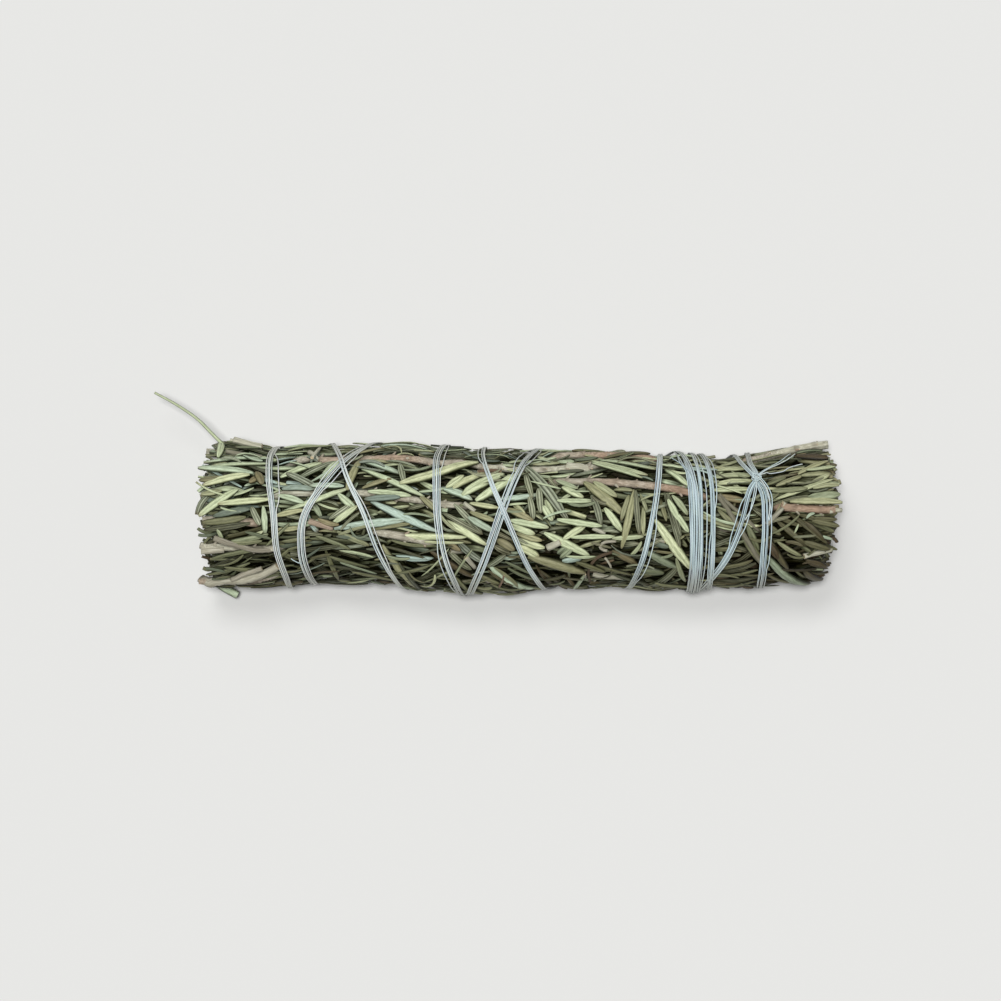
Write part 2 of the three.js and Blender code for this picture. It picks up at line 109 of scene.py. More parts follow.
# A leaf's outline: ring places along it, and its half width there for a spindle-shaped leaf,
# an even one, and one cut off short
RINGS = np.array([0, 0.05, 0.14, 0.28, 0.45, 0.62, 0.77, 0.88, 0.95, 1.0])
SPINDLE = np.array([0.3, 0.42, 0.66, 0.9, 1, 0.97, 0.82, 0.58, 0.34, 0.08])
EVEN = np.array([0.4, 0.62, 0.9, 1, 1, 1, 0.96, 0.82, 0.55, 0.15])
CUT_OFF = np.array([0.4, 0.6, 0.85, 1, 1, 1, 0.98, 0.96, 0.94, 0.9])
# Its section, in half widths: a rounded back above, rolled edges and a midrib below
BACK_HEIGHT = 0.64
LEAF_SECTION = np.array(
    [
        (1, -0.05),
        (0.86, 0.34),
        (0.4, BACK_HEIGHT),
        (0, 0.55),
        (-0.4, BACK_HEIGHT),
        (-0.86, 0.34),
        (-1, -0.05),
        (-0.82, -0.36),
        (-0.42, -0.04),
        (0, -0.28),
        (0.42, -0.04),
        (0.82, -0.36),
    ]
)
# Painted shade at each point, in the grooves, along the midline and at the edges, then how felted
# it is
SECTION_GROOVE_SHADE = np.array([0.9, 0.12, 0, 0.3, 0, 0.12, 0.9, 0.1, 1, 0, 1, 0.1])
SECTION_FELT = np.array([0.2, 0, 0, 0, 0, 0, 0.2, 0.7, 1, 1, 1, 0.7])
# The same for a leaf that is all but hidden
FEW_RINGS = np.array([0, 0.12, 0.4, 0.75, 0.94, 1.0])
PLAIN_SECTION = np.array([(1, 0), (0.5, 0.6), (-0.5, 0.6), (-1, 0), (-0.5, -0.26), (0.5, -0.26)])
PLAIN_GROOVE_SHADE = np.array([0.8, 0, 0, 0.8, 0.2, 0.2])
PLAIN_FELT = np.array([0, 0, 0, 0, 1, 1])
# How far dullness and painted shade may darken a leaf
MOST_DULL_AND_SHADE = 0.88

# How high above the outline the tip of a leaf may lie
FRONT_CEILING = -0.95
BACK_CEILING = -0.2
SEEN_CEILING = 0.5
SLIVER_CEILING = 0.8
# Spacing of the places under a leaf where its height is tested, and where it is noted
TESTED_SPACING = 1.2
NOTED_SPACING = 0.35
# The share of a leaf, from its root, that may lie under others
ROOT_SHARE = 0.12

# Rounds of leaves that fill the hollows: tries, height above the ceiling, reach from the top as
# an arc, and their width and length as shares. The deep one lies under the outer stems. Each
# leaf takes the lowest of a few chance places.
HOLLOW_CHOICE = 24
FRONT_REACH = 33.0
DEEP_FILLING = (750, -1.9, TURN / 2, 1.0, 1.0)
FILLINGS = [
    (3000, 0.0, TURN / 2, 1.0, 1.0),
    (4000, 0.35, FRONT_REACH, 0.66, 1.0),
    (3500, 0.35, FRONT_REACH, 0.7, 0.55),
]

# A leaf's rounded edges and tip look shorter and narrower than the leaf itself, so a leaf that
# the photo shows is a little longer and wider than it looks
SEEN_STRETCH = 0.05
SEEN_WIDENING = 1.14

# Shade gathers on what lies lower than the pile round it: free height and full depth in mm,
# and how many cells round a place count
SHADE_FREE = 0.15
SHADE_DEPTH = 1.5
SHADE_REACH = 2

# Ring radii on which the leaf ends inside the bundle are packed, and their spacing
HEART_RING = 2.1
INNER_RINGS = [3.9, 5.6, 7.3, 9.0, 10.7]
OUTER_RINGS = [12.4, 14.0]
END_SPACING = 1.45
# Ends of the stems inside, and the number of their rings
INNER_STEM_ENDS = (-85.5, 86.0)
HEART_STEM_ENDS = (-85.0, 86.0)
INNER_STEM_RINGS = 150

# The outer sprigs: stem angles at even stations, which way they grow, where their stems are
# bare, their ends, and for some the bark's tones and how far they stand proud of the outline
OUTER_SPRIGS = [
    dict(angles=[80, 82, 77, 76, 83], grows=-1, bare=[(-90, -74), (12, 36), (64, 90)],
         start=-81, end=86.2, tones=[0.0, 0.3, 0.6, 0.65, 0.1],
         proud=[2.2, 0.5, 0, 0, 0, 0, 0, 0.2, 1.7]),
    dict(angles=[48, 56, 52, 51, 46], grows=1, bare=[(-60, -49), (-42, 22)], start=-85, end=80,
         tones=[0.3, 0.5, 0.2, 0.1, 0.3]),
    dict(angles=[31, 37, 38, 28, 2.5], grows=-1, bare=[(12, 48), (74, 92)], start=-80, end=87.6,
         tones=[0.2, 0.2, 0.45, 0.7, 0.85]),
    dict(angles=[15, 18, 6, -4, -20], grows=1, bare=[(-66, -59), (-43, -18)], start=-88, end=80,
         tones=[0.1, 0.15, 0.1, 0.3, 0.3]),
    dict(angles=[-4, -15, -30, -36, -46], grows=1, bare=[(-89, -76), (-38, -26)], start=-88,
         end=82),
    dict(angles=[-26, -40, -54, -62, -72], grows=1, bare=[(-86, -69)], start=-88.5, end=76),
    dict(angles=[-70, -66, -84, -90, -98], grows=-1, bare=[(-90, -70)], start=-89.5, end=72),
    dict(angles=[-102, -104, -116, -120, -126], grows=1, bare=[(-88, -66)], start=-88, end=78),
    dict(angles=[-136, -140, -148, -152, -156], grows=-1, bare=[(66, 88)], start=-80, end=88),
    dict(angles=[-172, -176, -184, -186, -188], grows=1, bare=[(-90, -76), (-24, 24)],
         start=-89, end=80),
    dict(angles=[-208, -210, -214, -218, -222], grows=-1, bare=[(60, 90)], start=-82, end=89),
    dict(angles=[-244, -244, -248, -250, -252], grows=1, bare=[(-89, -60)], start=-88, end=80),
]
INNER_SPRIGS = 5
TWIST_PER_MM = -0.2

# Where the thread crosses the front, in winding order: the width of its strands side by side
# and its X at FRONT_ANGLES. A pass that starts or ends at the knot has only its own side of it.
THREAD_PASSES = [
    (2.0, [None, None, 67.1, 68.2, 67.8, 67.3, 67.1]),
    (1.3, [63.6, 64.1]),
    (1.5, [None, None, 64.5, 61.5, 57.5, 52.8, 49.7]),
    (1.2, [50.6, 52.2, 53.4, 53.7, 53.5, 53, 52.6]),
    (1.15, [47.7, 49, 50.3, 50.5, 50.4, 50, 49.6]),
    (1.15, [44.6, 45.9, 47.4, 47.9, 47.9, 47.5, 47]),
    (1.35, [39.6, 39.1, 38.3, 36.8, 34.7, 31.9, 29.6]),
    (2.1, [5.2, 1.8, -2, -5.8, -9.3, -12.7, -15]),
    (1.7, [-39.5, -45.6, -52.6, -59.6, -60.6, -58.9, -57]),
    (1.6, [-67, -69.2, -69.4, -68.2, -67.4, -65.1, -64]),
    (1.25, [-52.8, -50.6, -48, -43.2, -39.5, -35.1, -31.4]),
    (1.8, [-20.3, -22.6, -23.1, -22.7, -21.1, -18, -15.5]),
    (1.2, [-9.7, -10.2, -7.8, -3.5, 1, 5.2, 8.5]),
    (1.15, [42.7, 45.9, 48.6, 49.2, 49.1, 48.7, 48.2]),
    (1.2, [59.7, 61.7]),
]
KNOT_X = 65.8
KNOT_ANGLE = 38
KNOT_WIDTH = 0.9
# The knot's wraps: tilt, half width, half height and how high each lies
KNOT_WRAPS = [(0.5, 1.4, 1.0, 0.2), (2.2, 1.2, 0.8, 0.5), (1.2, 0.8, 1.1, 0.75)]
# The thread's strands, side by side: how light each is, and how rubbed and beige
STRAND_TONES = np.array([0.75, 0.4, 0.95, 0.6, 0.3, 0.85])
STRAND_RUBBED = np.array([0.0, 0.35, 0.0, 0.15, 0.5, 0.1])
STRANDS = len(STRAND_TONES)
STRAND_RADIUS = 0.155
STRAND_SIDES = 6
# Degrees of winding in one step of the thread, and how far it may dip and rise
THREAD_STEP = 3.0
THREAD_LOWEST = -1.0
THREAD_HIGHEST = 1.7
# Where one strand strays from its turn: number of the pass, strand, angles, how far in mm
STRAY_PARTS = [
    (9, 5, 62, 4, 1.6),
    (6, 5, 5, -60, 0.9),
    (7, 0, 85, 42, -1.0),
    (7, 5, 88, 50, 0.9),
    (4, 0, 60, -50, 0.5),
    (8, 0, 75, 15, -0.8),
    (8, 5, 60, 20, 0.7),
    (11, 5, 85, 40, 0.8),
    (11, 0, -20, -75, -0.7),
    (12, 0, 80, 50, -0.8),
    (10, 5, 20, -50, 0.5),
    (2, 0, 20, -20, -0.8),
    (2, 5, 30, -10, 0.6),
    (0, 5, 20, -40, 0.7),
    (5, 0, 88, 45, -1.1),
    (13, 0, 85, 40, -0.9),
    (3, 5, 70, 10, 0.7),
    (3, 0, -10, -60, -0.4),
    (4, 5, 80, -70, 0.75),
]

# The photo's frame, which looks straight down: its scale at the height of the bundle's axis
PHOTO_SIZE = 1001
PHOTO_MM_PER_PIXEL = 0.28
AXIS_PIXEL = (519.5, 515.0)
CAMERA_DISTANCE = 2000.0

# Leaves that stand out in the photo. Root and tip in its pixels, width in pixels, which face
# shows (1 for the pale underside), tone (0 blue-grey, 0.5 yellow-green, 1 red-brown) and how
# dull it is, from 0 to 1; near the lower edge this also stands for painted shade
LEAVES_SEEN = [
    # The left end, as far as the first turn of the thread
    (269, 457, 206.8, 461.6, 5, 0, 0.3, 0),
    (269, 462.3, 214, 466, 5, 0, 0.4, 0),
    (253, 472.8, 200.5, 469.3, 7, 0, 0.3, 0),
    (249.6, 475.6, 205.4, 485.4, 7, 0, 0.62, 0),
    (222, 478, 200, 481, 6, 0, 0.9, 0.3),
    (237.7, 489, 200.5, 515, 7.5, 0, 0.5, 0),
    (222, 490, 202, 494, 6, 0, 0.7, 0.2),
    (270, 499, 220, 503.7, 6.5, 0, 0.6, 0),
    (263, 506, 265, 534.5, 7.5, 0, 0.35, 0),
    (251, 506.5, 259.5, 524, 6, 1, 0.5, 0),
    (263, 531, 244.7, 539, 5, 0, 0.6, 0),
    (268, 534, 230, 541, 6, 0, 0.5, 0.4),
    (250, 509, 214.6, 516.3, 7, 0, 0.15, 0.6),
    (246, 517, 204, 522, 7, 0, 0.7, 0.6),
    (250, 523, 206, 529, 6, 1, 0.6, 0.7),
    (217, 529, 222, 540, 4, 0, 0.5, 0.2),
    (262, 540, 222, 541, 5, 0, 0.6, 0.6),
    (262, 549, 214, 557, 5, 0, 0.5, 0.8),
    (258, 556, 212, 566, 5, 1, 0.6, 0.8),
    (250, 563, 208, 575, 5, 0, 0.55, 0.7),
    (262, 570, 226, 566, 5, 0, 0.6, 0.9),
    (256, 472, 262, 484, 8, 0, 0.97, 0.2),
    (262, 471, 250, 483, 7, 0, 1.0, 0),
    (279, 445, 229, 434, 6, 0, 0.5, 0.35),
    (274, 444, 233, 433, 4.5, 1, 0.3, 0.1),
    (218, 458, 220.5, 440, 7, 0, 0.5, 0),
    (268, 453, 226, 443, 5, 1, 0.5, 0.3),
    (262, 450, 236, 449, 4, 0, 0.4, 0.5),
    # Between the first turns and the crossing threads
    (328, 441, 286, 449, 5, 0, 0.35, 0),
    (334, 446, 290, 452, 4, 0, 0.5, 0.3),
    (280.5, 477, 320, 463, 6, 0, 0.45, 0),
    (299, 478, 335, 461, 6, 1, 0.4, 0),
    (326, 493, 288, 475, 7, 1, 0.3, 0),
    (321, 479, 339, 463, 8.5, 0, 0.35, 0),
    (282.6, 512, 348, 489, 7, 0, 0.45, 0),
    (347, 491, 360, 461, 7.5, 0, 0.78, 0.1),
    (338, 494, 356, 508.7, 7, 0, 0.35, 0),
    (331.7, 524, 356, 507, 6.5, 0, 0.5, 0),
    (329, 519, 351, 504, 5, 1, 0.5, 0),
    (334, 529, 405.5, 519.5, 8, 0, 0.15, 0),
    (301, 527.6, 277, 530, 5, 0, 0.8, 0),
    (304, 510, 276, 516, 5.5, 0, 0.75, 0),
    (304, 503, 279, 496, 6, 0, 0.3, 0),
    (305, 519, 280, 513, 4, 1, 0.6, 0.2),
    (318, 519, 338, 524, 5, 0, 0.96, 0),
    (344, 487, 311, 486, 6, 0, 0.2, 0),
    (282, 489, 312, 490, 6, 0, 0.15, 0.2),
    (310, 537, 283, 541, 4, 0, 0.6, 0.7),
    (316, 536, 349, 549, 5, 0, 0.5, 0.6),
    (337, 531, 368, 545, 6, 0, 0.6, 0.4),
    (340, 545, 300, 552, 5, 1, 0.5, 0.8),
    (378, 541, 338, 536, 5, 0, 0.1, 0.5),
    (325, 551, 338, 577, 5, 0, 0.6, 0.7),
    (327, 556, 368, 568, 4, 0, 0.5, 0.7),
    (330, 565, 380, 573, 4, 1, 0.5, 0.7),
    (294, 566, 262, 572, 4, 0, 0.5, 0.8),
    (290, 549, 276, 560, 4, 0, 0.6, 0.8),
    (350, 581, 388, 575, 3.5, 0, 0.4, 0.3),
    (352, 570, 392, 578, 5, 0, 0.6, 0.8),
    # From the crossing threads to the long turn at 440
    (362, 469, 421.5, 495, 7.5, 0, 0.35, 0),
    (363, 461.7, 400, 472, 7, 0, 0.2, 0),
    (478, 462.8, 403, 483, 9.5, 0, 0.55, 0),
    (371, 501.6, 435.5, 530, 9, 0, 0.1, 0),
    (367.8, 491.4, 409, 495.5, 6, 0, 0.4, 0),
    (400, 497.5, 366, 499.5, 6, 0, 0.05, 0.4),
    (362, 486, 390, 480, 5, 0, 0.85, 0.1),
    (391, 537, 463, 536.5, 8.5, 0, 0.55, 0),
    (443, 520, 484.5, 543, 8.5, 0, 0.5, 0),
    (441, 487.6, 471, 499.5, 8, 0, 0.15, 0),
    (475.6, 500.8, 518, 474, 11, 0, 0.4, 0),
    (462, 496, 502, 474, 9.5, 0, 0.42, 0),
    (453, 489, 484, 473, 8, 0, 0.6, 0),
    (446, 488, 463, 477, 7, 0, 0.5, 0),
    (404, 532.5, 414, 524, 5, 0, 0.6, 0.1),
    (454, 504, 481, 532, 6, 1, 0.4, 0),
    (443, 513, 481, 533, 5, 1, 0.55, 0.2),
    (370, 530.5, 408.5, 524, 5, 0, 0.75, 0.3),
    (382.5, 545, 420, 592, 9, 0, 0.72, 0.1),
    (399, 562, 421, 590, 4, 1, 0.3, 0.7),
    (396, 556, 431.5, 558, 6.5, 0, 0.0, 0),
    (429, 551, 476, 576, 8, 0, 0.95, 0.5),
    (447.5, 551.5, 470.5, 569, 6, 1, 0.5, 0.1),
    (458.5, 543, 482, 560, 7, 1, 0.15, 0.1),
    (446, 543, 460, 549.5, 6, 0, 0.93, 0.1),
    (494, 546.5, 510, 553.5, 6, 1, 0.75, 0.2),
    (489, 565, 532, 587.5, 9, 0, 0.15, 0),
    (488, 569, 513, 584, 4, 0, 0.85, 0.5),
    (399.5, 463, 404, 483, 6, 1, 0.4, 0),
    (470, 503, 498, 508, 5.5, 0, 0.6, 0),
    (470, 512, 494, 520.5, 6, 0, 0.7, 0.1),
    (468, 517, 492, 530, 7, 0, 0.15, 0.1),
    (497, 541, 514, 549, 9, 0, 0.82, 0.2),
    (420, 497, 438, 512, 6, 0, 0.75, 0.2),
    (418, 508, 436, 517, 5, 0, 0.6, 0.2),
    (405, 510, 424, 506, 4, 1, 0.6, 0.3),
    (480.5, 575.5, 499, 583.5, 5.5, 0, 0.65, 0.4),
    (405, 583, 388, 571, 4, 0, 0.3, 0.8),
    (430, 566, 395, 572, 5, 0, 0.5, 0.9),
    (442, 570, 408, 579, 5, 1, 0.5, 0.9),
    (452, 575, 470, 590, 5, 0, 0.5, 0.8),
    (376.6, 583, 392.4, 585.5, 6, 0, 1.0, 0.6),
    # From the second crossing to the turn at 645
    (487.5, 461, 513, 467.5, 5, 0, 0.3, 0),
    (521.5, 464, 566.5, 518.5, 9.5, 1, 0.25, 0),
    (500, 499, 537, 495, 7, 0, 0.1, 0),
    (525.4, 473, 532, 497, 6, 1, 0.45, 0),
    (529, 497, 533, 519, 6, 1, 0.45, 0),
    (538.8, 489, 541, 512, 6.5, 1, 0.4, 0),
    (545.4, 500, 554, 517.5, 7, 0, 0.42, 0),
    (543, 506.5, 552, 520, 7, 0, 0.38, 0),
    (513.5, 503.5, 525, 513.5, 6, 0, 0.6, 0),
    (505.5, 508.5, 532, 520.5, 7, 0, 0.8, 0),
    (510.5, 520.5, 547, 527, 7, 0, 0.35, 0),
    (510.5, 524.4, 534, 533, 7, 0, 0.42, 0),
    (516, 533.5, 541, 539.8, 6.5, 0, 0.72, 0),
    (516.5, 539, 543.5, 546.5, 7, 0, 0.5, 0),
    (518, 545.4, 538, 555, 8, 0, 0.55, 0),
    (544, 533, 587.5, 554, 8.5, 0, 0.38, 0),
    (563, 539, 585, 526, 7, 0, 0.45, 0),
    (558, 556.5, 568, 545.5, 6, 0, 0.2, 0.2),
    (560.5, 558.5, 572.5, 547.5, 6, 0, 0.25, 0.2),
    (557, 501, 593, 500.5, 5.5, 0, 0.35, 0),
    (584, 482.5, 622.5, 513.5, 9.5, 0, 0.68, 0.15),
    (604.5, 508, 621.5, 530.5, 7.5, 0, 0.4, 0),
    (593.5, 483, 616, 496.5, 7, 0, 0.55, 0.2),
    (562, 487, 582.5, 496.5, 7, 0, 0.4, 0),
    (556, 480, 577, 488, 5, 0, 0.3, 0.2),
    (591.5, 495.5, 600.5, 525, 6.5, 1, 0.35, 0.2),
    (634, 490, 622, 545, 7.5, 0, 0.66, 0.1),
    (629, 496, 621.5, 519.5, 5, 0, 0.6, 0.3),
    (635.5, 491, 639.5, 533, 5.5, 1, 0.5, 0.3),
    (644, 506, 643.5, 533, 5.5, 0, 0.6, 0.1),
    (640, 494, 647, 512, 4, 0, 0.5, 0.4),
    (614, 489.5, 632, 491.5, 5, 0, 0.6, 0.3),
    (557, 519.5, 600, 525.5, 6, 0, 0.35, 0),
    (571, 537, 614, 537, 5, 0, 0.35, 0),
    (612, 538, 642, 536, 5, 0, 0.4, 0.1),
    (580, 546, 600.5, 541, 4.5, 0, 0.6, 0.2),
    (605.5, 549.5, 637.5, 543, 5.5, 1, 0.5, 0.1),
    (528, 555.5, 582.5, 570.5, 11, 0, 0.68, 0.2),
    (562, 559.5, 580.5, 559.5, 6.5, 0, 0.0, 0),
    (503.5, 559.5, 519, 558.5, 6, 0, 0.1, 0),
    (487.5, 565.5, 504.5, 554.5, 6.5, 1, 0.35, 0),
    (566, 555, 594, 555.5, 3.5, 0, 0.3, 0),
    (612, 553, 636, 565, 9, 0, 0.85, 0.2),
    (505, 563, 530, 573, 4, 0, 0.2, 0.9),
    (508, 568, 532, 579, 4, 0, 0.25, 0.9),
    (536, 566, 556, 586, 4, 0, 0.9, 0.6),
    (541, 570, 560, 584, 3.5, 0, 0.8, 0.7),
    (562, 577.5, 576, 586.5, 4, 0, 0.9, 0.3),
    (574, 591, 584, 576, 4, 0, 0.2, 0.1),
    (590, 586.5, 625, 586.5, 5, 0, 0.25, 0.8),
    (596, 566, 630, 573, 5, 0, 0.6, 0.8),
    (576, 561, 604, 572, 5, 0, 0.6, 0.8),
    (604, 457, 648, 452.5, 5, 0, 0.8, 0.5),
    (592, 461, 645, 474, 5, 0, 0.4, 0.1),
    (592, 464.5, 640, 478, 4.5, 0, 0.35, 0.1),
    (600, 459, 653, 470, 4.5, 0, 0.3, 0.1),
    (560, 462, 534, 466, 5, 0, 0.5, 0.3),
    # From the turn at 645 to the broad band at 700
    (655, 519.5, 691, 566.5, 9.5, 0, 0.48, 0),
    (664.5, 491, 679.5, 545, 5.5, 1, 0.45, 0.25),
    (667.5, 493, 680, 534, 5.5, 1, 0.45, 0.3),
    (668, 500, 679, 520, 6.5, 0, 0.35, 0),
    (659, 494, 666, 520, 5, 0, 0.65, 0.35),
    (672, 496, 687, 514, 6, 0, 0.35, 0.2),
    (674, 511, 688, 531, 6, 0, 0.35, 0),
    (665, 468, 687, 484, 7, 0, 0.35, 0),
    (668, 463, 690, 470, 5, 0, 0.3, 0.2),
    (646, 551.5, 677, 566.5, 10, 0, 0.15, 0.4),
    (640, 571, 663, 573, 9, 0, 0.25, 0.6),
    (644, 588.5, 677, 566, 7, 1, 0.45, 0.2),
    (676, 557, 685, 579, 5, 0, 0.4, 0.3),
    (649, 545, 668, 546, 8, 0, 0.05, 0.7),
    (629.5, 557, 641, 541.5, 4, 0, 0.4, 0.1),
    (655, 581, 688, 585, 5, 0, 0.5, 0.8),
    # From the broad band to the knot's turns
    (716, 470, 747, 468, 5.5, 0, 0.5, 0.2),
    (714, 477, 752, 474, 6, 0, 0.45, 0.2),
    (716, 483.5, 750, 481, 6, 0, 0.5, 0.1),
    (714, 490, 748, 489, 6, 0, 0.45, 0.1),
    (717, 495.5, 745, 499.5, 7, 0, 0.9, 0.1),
    (719, 463, 741, 461, 5, 0, 0.5, 0.4),
    (718, 509, 742, 529, 6, 0, 0.6, 0.5),
    (733, 556, 708, 561, 6, 0, 0.6, 0.4),
    (747, 525, 758, 550, 7, 0, 0.25, 0.5),
    (741, 534, 768, 567, 8, 0, 0.4, 0.7),
    (712, 547, 738, 537, 5, 1, 0.4, 0.5),
    (712, 552, 733, 548, 5, 0, 0.6, 0.5),
    (716, 569, 751, 560, 4.5, 0, 0.6, 0.6),
    (715, 574, 754, 564, 4.5, 1, 0.5, 0.6),
    (714, 578, 756, 570, 4.5, 0, 0.5, 0.6),
    (714, 582, 757, 576, 4.5, 1, 0.5, 0.7),
    (716, 587, 756, 582, 4.5, 0, 0.5, 0.8),
    # The right end
    (797, 457, 827, 458, 8, 0, 0.95, 0.4),
    (798, 474, 827, 462, 5.5, 0, 0.6, 0),
    (806, 471.5, 834, 468, 4.5, 0, 0.35, 0),
    (776, 486, 802, 476, 5.5, 0, 0.6, 0.1),
    (801, 477, 829, 473, 6, 0, 0.55, 0.1),
    (812, 480.5, 829, 475.5, 6, 0, 0.5, 0),
    (776, 499, 831, 480, 5, 0, 0.45, 0),
    (813, 489, 838, 486, 5, 0, 0.5, 0.1),
    (808, 497.5, 839, 494, 9, 0, 0.25, 0.2),
    (790, 501.5, 840, 502.5, 7, 0, 0.55, 0),
    (766, 484, 785, 477.5, 5, 0, 0.4, 0.6),
    (752, 466, 780, 463, 4, 0, 0.3, 0.6),
    (772, 491, 806, 489, 6, 0, 0.4, 0.3),
    (778.5, 517.5, 802, 526, 4.5, 0, 0.6, 0.5),
    (777, 521, 806, 545, 6, 0, 0.65, 0.6),
    (789, 513, 825, 541, 5.5, 0, 0.7, 0.5),
    (804, 521, 824, 540, 5.5, 0, 0.75, 0.5),
    (797, 514, 832, 524, 5, 0, 0.6, 0.5),
    (812, 520.5, 838, 525.5, 5.5, 0, 0.55, 0.2),
    (814, 518, 836, 519, 5, 0, 0.6, 0.4),
    (806.5, 518.5, 814.5, 513.5, 3, 0, 0.1, 0),
    (794.5, 533, 798.5, 524, 2, 0, 0.3, 0),
    (820, 535, 832, 538.5, 3.5, 0, 0.1, 0),
    (769.5, 525.5, 780.5, 535, 5.5, 0, 0.5, 0.3),
    (768, 538, 787.5, 566, 8.5, 0, 0.72, 0.6),
    (768, 542.5, 778, 557, 7, 0, 0.97, 0.3),
    (777.5, 542, 801, 555.5, 5, 0, 0.45, 0.1),
    (793, 546, 811, 551, 6, 0, 0.3, 0.4),
    (766, 555, 808, 584.5, 9.5, 0, 0.05, 0.05),
    (795, 571, 808, 579.5, 3.5, 0, 0.5, 0.2),
    (799.5, 569, 802.5, 556, 5.5, 0, 0.35, 0.4),
    (806, 560, 826, 566, 8, 0, 0.8, 0.9),
    (804, 570, 822, 580, 8, 0, 0.75, 0.9),
    (765, 573, 797, 585, 5, 0, 0.6, 0.8),
    (804, 541, 829, 548, 7, 0, 0.6, 0.8),
    # Pale torn bits beside the first crossing
    (309, 450, 319, 456, 5, 1, 0.0, 0.0),
    (311, 463, 319, 452, 4.5, 1, 0.0, 0.0),
    (307, 457, 317, 463, 4, 1, 0.1, 0.0),
    # Dark short leaves along the lower edge
    (275, 584, 291, 589, 8, 0, 0.9, 1.0),
    (286, 589, 302, 585, 8, 0, 0.95, 1.0),
    (281, 587, 296, 591, 7, 0, 0.85, 1.0),
    (338, 588, 351, 591, 5, 0, 0.6, 0.8),
    (371, 586, 384, 591, 5, 0, 0.2, 0.5),
    (398, 590, 411, 586, 5, 0, 0.7, 0.9),
    (468, 587, 482, 592, 6, 0, 0.5, 0.8),
    (505, 588, 518, 592, 5, 0, 0.8, 0.9),
    (528, 591, 541, 587, 5, 0, 0.4, 0.8),
    (555, 588, 567, 593, 5, 0, 0.9, 1.0),
    (638, 590, 652, 586, 5, 0, 0.5, 0.8),
    (667, 587, 681, 591, 5, 0, 0.7, 0.8),
    (741, 588, 753, 591, 5, 0, 0.9, 1.0),
    (789, 585, 804, 589, 5, 0, 0.8, 1.0),
]

# Small bare twigs, stubs and curls that stand out: their way in photo pixels, radius in mm,
# tone (0 pale grey, 0.5 taupe, 1 red-brown) and how dull they are, partly painted shade
TWIGS_SEEN = [
    ([(308.5, 521), (318, 524.5), (333, 529)], 0.85, 0.6, 0.1),
    ([(234, 444), (247, 446.5), (262, 449.5)], 1.0, 0.0, 0.0),
    ([(226, 450), (240, 452.5), (262, 456)], 0.6, 0.1, 0.6),
    ([(822, 446), (832, 445)], 0.3, 0.0, 0.0),
    ([(829, 511), (842, 510)], 0.75, 0.0, 0.0),
    ([(566, 464.5), (578, 465.5), (589.6, 465.6)], 1.1, 0.0, 0.0),
    ([(782, 504), (788, 505)], 1.0, 0.0, 0.0),
    ([(201.5, 586.5), (225, 581.5), (248, 576.5), (267, 571.5), (277.5, 565)], 1.3, 0.15, 0.2),
    ([(201, 551.5), (212, 551), (224, 550)], 1.0, 0.2, 0.0),
    ([(309, 451), (318, 460)], 0.6, 0.0, 0.0),
    ([(312, 461), (320, 452)], 0.5, 0.0, 0.0),
    ([(464, 503), (475, 511)], 0.6, 0.0, 0.0),
    ([(593, 528), (605, 534)], 0.7, 0.0, 0.0),
    ([(214, 538), (232, 543), (250, 549), (276, 552)], 0.85, 0.3, 0.4),
    ([(232, 579), (244, 572), (262, 566)], 0.8, 0.25, 0.2),
    ([(612, 553), (599, 556), (589.5, 563), (587, 573), (590, 583)], 0.42, 0.8, 0.9),
    ([(718.7, 496.5), (741, 530), (765, 565.5)], 0.75, 0.1, 0.75),
    ([(719, 495), (741, 514), (765, 537)], 0.6, 0.1, 0.7),
    ([(766.5, 524.5), (774, 517), (783, 508.5)], 0.75, 0.1, 0.4),
    ([(593, 577), (608, 578), (623, 579.5)], 0.7, 0.0, 0.3),
    ([(585, 575), (586, 586), (592, 589), (597, 583)], 0.32, 0.0, 0.2),
    ([(607, 551), (597, 549.5), (596.5, 543.5), (606, 541), (616, 541.5)], 0.42, 0.2, 0.1),
    ([(605, 560), (612, 564), (614, 571), (611, 572)], 0.3, 0.1, 0.1),
    ([(434.5, 584), (447, 579)], 0.2, 0.0, 0.0),
    ([(804, 555.4), (818, 554), (832, 553)], 0.75, 0.0, 0.0),
    ([(653, 540), (665, 541.5)], 0.5, 0.0, 0.3),
    ([(547.5, 547.5), (560.5, 541)], 1.0, 0.0, 0.0),
    ([(466, 556), (470, 561), (475, 568)], 0.7, 0.1, 0.2),
    ([(450.5, 553), (464, 556)], 0.7, 0.1, 0.3),
    ([(499, 585), (503, 580), (504, 573)], 0.3, 0.85, 0.4),
    ([(478, 586), (490, 586), (494, 583)], 0.3, 0.3, 0.2),
    ([(706, 502), (717, 503.5)], 0.4, 0.1, 0.7),
    ([(478, 471.5), (489, 468.8), (501, 472)], 0.6, 0.9, 0.7),
]

# The loose strands round the knot and beside the thread: their way in photo pixels
STRANDS_SEEN = [
    [(756, 479), (766, 471.5), (779, 466), (786, 461), (790.5, 455.5)],
    [(757, 480), (768, 472.5), (781, 467.5), (789, 463), (795, 458)],
    [(757, 480.5), (766, 476.5), (778, 473.5), (790, 469), (802.5, 464)],
    [(757, 479), (768, 488), (772.8, 498), (772.3, 512), (768.5, 521)],
    [(757, 480.5), (765.5, 488.5), (769.8, 498), (770.2, 510), (768, 520)],
    [(755, 480), (757, 492), (754, 504), (750, 513), (745, 520)],
    [(291, 557.5), (296, 561), (302, 560)],
    [(671, 461), (679, 466), (687, 474)],
]
